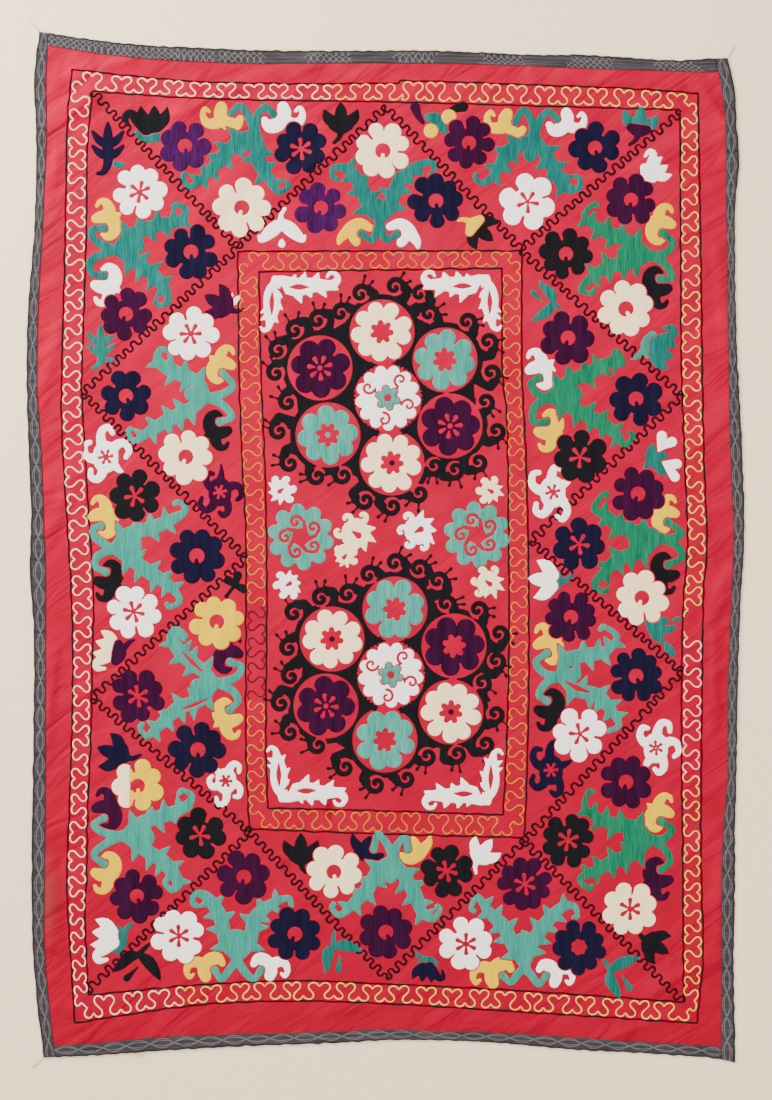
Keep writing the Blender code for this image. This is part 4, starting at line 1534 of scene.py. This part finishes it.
# The buds. Small motifs in filled stitching between the flowers: a comma-shaped one in the bend
# of each leaf hook, and tulips, star-hearted creepers, three-leaved twigs and trefoils.
COMMA_BUDS = [
    # from the knob of the hook: inward along x, and away from the joint along y
    [[(-1, -7, 2.4), (5, -9, 4.4), (11, -4, 6.0), (11, 5, 7.4), (4, 12, 8.2)],
     [(5, 12, 8), (-4, 11, 6.6), (-9, 9, 5)],
     [(5, 14, 7), (4, 21, 6.2), (0, 27, 4.4), (-6, 27, 3.2), (-9, 22.5, 2.2)],
     [(10, 12, 5.5), (17, 17, 1.0)]],
    [[(7, -8, 4.0), (13, -3, 6.0), (10, 5, 8), (0, 11, 7.6), (-7, 10, 6)],
     [(6, 12, 7), (9, 19, 6), (7, 27, 4.8), (-1, 30, 3.4), (-7, 27, 2.7), (-4, 23, 1.9)]],
    [[(7, -8, 4.0), (10, 2, 6.4), (6, 10, 7.4), (0, 16, 6.2), (-6, 21, 4.6), (-12, 23, 2.2)],
     [(3, 10, 7), (-5, 7, 6), (-9, 5, 4.6)]],
]
BUD_SHAPES = {
    # strokes in the main colour, then strokes in the second one, crown upwards
    "tulip": (
        [[(-17, -9, 0.5), (-13, 0, 5.5), (-5, 6, 6.5)], [(0, -16, 0.5), (0, -6, 6), (0, 4, 6)],
         [(17, -9, 0.5), (13, 0, 5.5), (5, 6, 6.5)]],
        [[(-8, 8, 4.6), (0, 10, 6.5), (8, 8, 4.6)], [(0, 14, 3.6), (2, 20, 2.6), (7, 25, 1.8)]],
    ),
    "curled_tulip": (
        [[(-17, 0, 1.8), (-18, -7, 3), (-13, -9, 3.6), (-8, -2, 5), (-2, 5, 6)],
         [(-4, -14, 0.5), (-4, -5, 5), (0, 3, 6)], [(7, -13, 0.5), (6, -4, 5.2), (3, 4, 6)],
         [(18, -10, 0.5), (14, -1, 5), (7, 5, 5)]],
        [[(-8, 9, 4.5), (0, 11, 7), (8, 9, 4.5)], [(6, 15, 3), (12, 19, 2.4), (15, 24, 0.8)]],
    ),
    "branch": (
        [[(0, -27, 2), (0, -16, 5), (0, 0, 6), (0, 14, 5), (-4, 24, 3.6), (-11, 26, 2)],
         [(0, -4, 5), (-9, -9, 4.6), (-16, -18, 2)], [(0, -4, 5), (9, -9, 4.6), (16, -18, 2)],
         [(0, 8, 5), (-9, 4, 4.4), (-16, -3, 2)], [(0, 8, 5), (9, 4, 4.4), (16, -3, 2)]],
        [[(5, 14, 2), (11, 17, 4), (18, 16, 1)]],
    ),
    "bell": (
        [[(3, -16, 2.2), (-1, -9, 2.6), (0, -2, 4)],
         [(0, -1, 5), (-8, 5, 7.4), (-16, 12, 6), (-22, 17, 3), (-24, 13, 2)],
         [(0, -1, 5), (8, 5, 7.4), (16, 12, 6), (22, 17, 3), (24, 13, 2)], [(0, 16, 0.8), (0, 21, 4.2)]],
        [],
    ),
    "berries": (
        [[(-12, -3, 4), (-4, -1, 6.4), (2, 7, 5), (9, 14, 3.4), (14, 17, 0.8)]],
        [[(9, -3, 7.6)], [(-9, 11, 7.4)]],
    ),
    "drop": ([[(0, -8, 5.2), (0, 0, 3.8), (2, 9, 2.2)]], []),
    "three_leaf": (
        [[(0, 0, 3), (-9, 2, 6.5), (-18, 11, 4.4), (-26, 17, 0.5)],
         [(2, 0, 3.5), (11, 7, 6.5), (18, 17, 4.6), (23, 26, 0.5)],
         [(0, 0, 3), (8, -8, 2.3), (15, -14, 0.7)]],
        [[(0, 12, 1), (-6, 18, 2.2), (-11, 23, 3.8)]],
    ),
    "hearts": (
        [[(5, -4, 0.5), (8, -12, 4), (9, -20, 5.2)], [(5, -4, 0.5), (12, -11, 4), (19, -14, 5.2)],
         [(9, 6, 0.5), (17, 8, 4), (24, 8, 5)], [(9, 6, 0.5), (17, 14, 4), (22, 21, 5)]],
        [[(-13, 20, 0.8), (-4, 6, 3.5), (-2, -4, 5), (0, -13, 0.8)],
         [(-2, 0, 5), (8, 0, 4.5), (16, 0, 0.6)], [(-2, 2, 5), (6, 12, 5), (13, 21, 0.6)]],
    ),
    "trefoil": (
        [[(0, 0, 3), (-7, -5, 4.8)], [(0, 0, 3), (3, -10, 4.8)], [(0, 0, 3), (9, 4, 5)],
         [(0, 0, 2.4), (-6, 8, 1.9), (-9, 12, 2.4)]],
        [],
    ),
    "twig": (
        [[(-19, -16, 1), (-13, -9, 3), (-5, 1, 6), (1, 8, 3)], [(-6, -9, 4), (2, -12, 4), (7, -12, 2)],
         [(1, -3, 4), (9, -4, 4), (14, -6, 2)], [(12, -12, 1.5), (17, -14, 3)],
         [(4, 10, 1.5), (8, 16, 4.5), (12, 21, 3)]],
        [],
    ),
}
COMMA_PAIRS = [
    # for each leaf pair, the buds' colours at its two hooks and their shape
    ("yellow", "white", 1), ("yellow", "white", 2), ("yellow", "white", 1), ("yellow", "black", 0),
    ("white", "yellow", 0), ("yellow", "black", 0), ("yellow", "black", 0), ("yellow", "purple", 0),
    ("yellow", "white", 1), ("navy", "yellow", 2), ("yellow", "white", 1), ("purple", "yellow", 0),
    ("purple", "yellow", 0), ("yellow", "black", 0), ("yellow", "black", 0), ("yellow", "white", 0),
]
BUDS = [
    # shape, main colour, second colour, x, y, degrees turned clockwise, size (minus: mirrored)
    ("branch", "navy", "teal", 108, 149, 0, 0.95), ("curled_tulip", "black", "teal", 148, 122, -8, 1.2),
    ("tulip", "black", "black", 341, 118, 0, -1.0), ("berries", "teal", "yellow", 440, 120, 0, 1.0),
    ("drop", "purple", "purple", 418, 115, -20, 1.0), ("drop", "black", "black", 455, 109, 75, 1.05),
    ("tulip", "teal", "purple", 640, 121, 8, -1.0), ("curled_tulip", "white", "white", 655, 168, 50, 0.9),
    ("bell", "white", "white", 282, 224, 0, 0.95), ("tulip", "black", "yellow", 481, 231, 130, 1.0),
    ("branch", "teal", "teal", 101, 347, 0, 0.8), ("creeper", "white", "white", 106, 457, 35, 1.1),
    ("tulip", "purple", "purple", 218, 303, -60, 1.0), ("tulip", "cream", "cream", 231, 299, 0, 0.5),
    ("creeper", "purple", "purple", 220, 492, -90, 1.0), ("trefoil", "black", "black", 235, 585, 0, 0.95),
    ("creeper", "white", "white", 226, 781, -135, 0.9),
    ("curled_tulip", "cream", "purple", 108, 651, -80, 1.05),
    ("tulip", "navy", "navy", 113, 753, -70, 1.05), ("curled_tulip", "white", "teal", 107, 940, -90, 1.15),
    ("three_leaf", "black", "black", 138, 955, 0, 1.0), ("three_leaf", "teal", "teal", 553, 302, 90, 0.85),
    ("creeper", "white", "white", 553, 492, -30, 1.1), ("tulip", "white", "teal", 545, 580, -85, 1.1),
    ("creeper", "navy", "navy", 551, 770, -20, 1.05), ("curled_tulip", "teal", "mint", 661, 347, 100, 1.15),
    ("hearts", "white", "teal", 653, 456, 0, 1.0), ("twig", "teal", "teal", 661, 633, 0, 1.0),
    ("creeper", "white", "white", 656, 748, 128, 1.05), ("tulip", "black", "black", 656, 946, 120, -0.95),
    ("three_leaf", "teal", "teal", 611, 972, -75, 0.95),
    ("curled_tulip", "navy", "teal", 428, 971, 180, 0.85),
    ("three_leaf", "teal", "teal", 333, 947, -40, 0.9), ("tulip", "black", "black", 301, 849, 0, 1.0),
    ("tulip", "white", "white", 484, 851, 35, 0.9),
]
bud_fillings = {
    colour: Filling("buds_" + colour, finishes[colour])
    for colour in ("white", "yellow", "black", "navy", "purple", "cream", "teal", "mint")
}


def placed(stroke, x, y, across, down, size):
    """A stroke moved from a bud's own frame to the photograph's, smoothed on the way."""
    rows = through(stroke if len(stroke) > 1 else stroke * 2, 4)
    rows[:, 2] = np.maximum(rows[:, 2], 0.3) * size
    rows[:, :2] = (x, y) + size * (rows[:, :1] * across + rows[:, 1:2] * down)
    return rows


def creeper(filling, x, y, turn, size, draw):
    """A body with a star in it, a pointed stem, and four arms that bend over at their ends."""
    filling.stroke([(x, y - 3 * size, 11.5 * size), (x, y + 3 * size, 11.5 * size)])
    stem = [(0, 8, 5), (0.06, 18, 2.8), (0.0, 27, 0.6)]
    arm_shape = [(0, 9, 5.2), (0.03, 15, 4.3), (0.2, 20.5, 3.6), (0.5, 22.5, 3.1), (0.72, 19, 2.4)]
    for number in range(5):
        angle = turn + (0 if number == 0 else 1.25 + 1.26 * (number - 1)) + draw.uniform(-0.1, 0.1)
        reach = size * draw.uniform(0.9, 1.1)
        bend = stem if number == 0 else arm_shape
        arm = [
            (
                x + 0.9 * reach * radius * np.cos(angle + lean),
                y + 1.16 * reach * radius * np.sin(angle + lean),
                width * size,
            )
            for lean, radius, width in bend
        ]
        filling.stroke(through(arm, 4))
    for drop in range(6):
        angle = turn + 0.3 + 2 * np.pi * drop / 6
        filling.stroke(ray(x, y, angle, 1.2, 5.8 * size, 0.5, 1.5), cut=True)


bud_draw = np.random.default_rng(53)
for pair, (*colours, shape) in zip(LEAF_PAIRS, COMMA_PAIRS):
    joint = np.array(pair[1])
    inward = np.array(pair[4][-1]) + pair[5][-1] - 2 * joint
    along_x = abs(inward[0]) > abs(inward[1])
    inward = np.array([np.sign(inward[0]), 0.0]) if along_x else np.array([0.0, np.sign(inward[1])])
    for hook, colour in zip(pair[2:4], colours):
        knob = np.array(hook[-1], float)
        away = (knob - joint) * (1 - np.abs(inward))
        away /= np.linalg.norm(away)
        lean = bud_draw.uniform(-0.12, 0.12)
        across = inward * np.cos(lean) + away * np.sin(lean)
        down = away * np.cos(lean) - inward * np.sin(lean)
        size = bud_draw.uniform(0.88, 1.0)
        for stroke in COMMA_BUDS[shape]:
            bud_fillings[colour].stroke(placed(stroke, *knob, across, down, size))
for shape, colour, second, x, y, degrees, size in BUDS:
    turn = np.radians(degrees)
    if shape == "creeper":
        creeper(bud_fillings[colour], x, y, turn, size, bud_draw)
        continue
    across = np.array([np.cos(turn), np.sin(turn)]) * np.sign(size)
    down = np.array([-np.sin(turn), np.cos(turn)])
    size = abs(size)
    for strokes, filling in zip(BUD_SHAPES[shape], (bud_fillings[colour], bud_fillings[second])):
        for stroke in strokes:
            filling.stroke(placed(stroke, x, y, across, down, size))
under = list(flower_fillings.values()) + list(leaf_fillings.values())
for number, filling in enumerate(bud_fillings.values()):
    for other in under:
        filling.clear_of(other)
    for other in list(bud_fillings.values())[:number]:
        filling.clear_of(other, 0.2)
    filling.make()
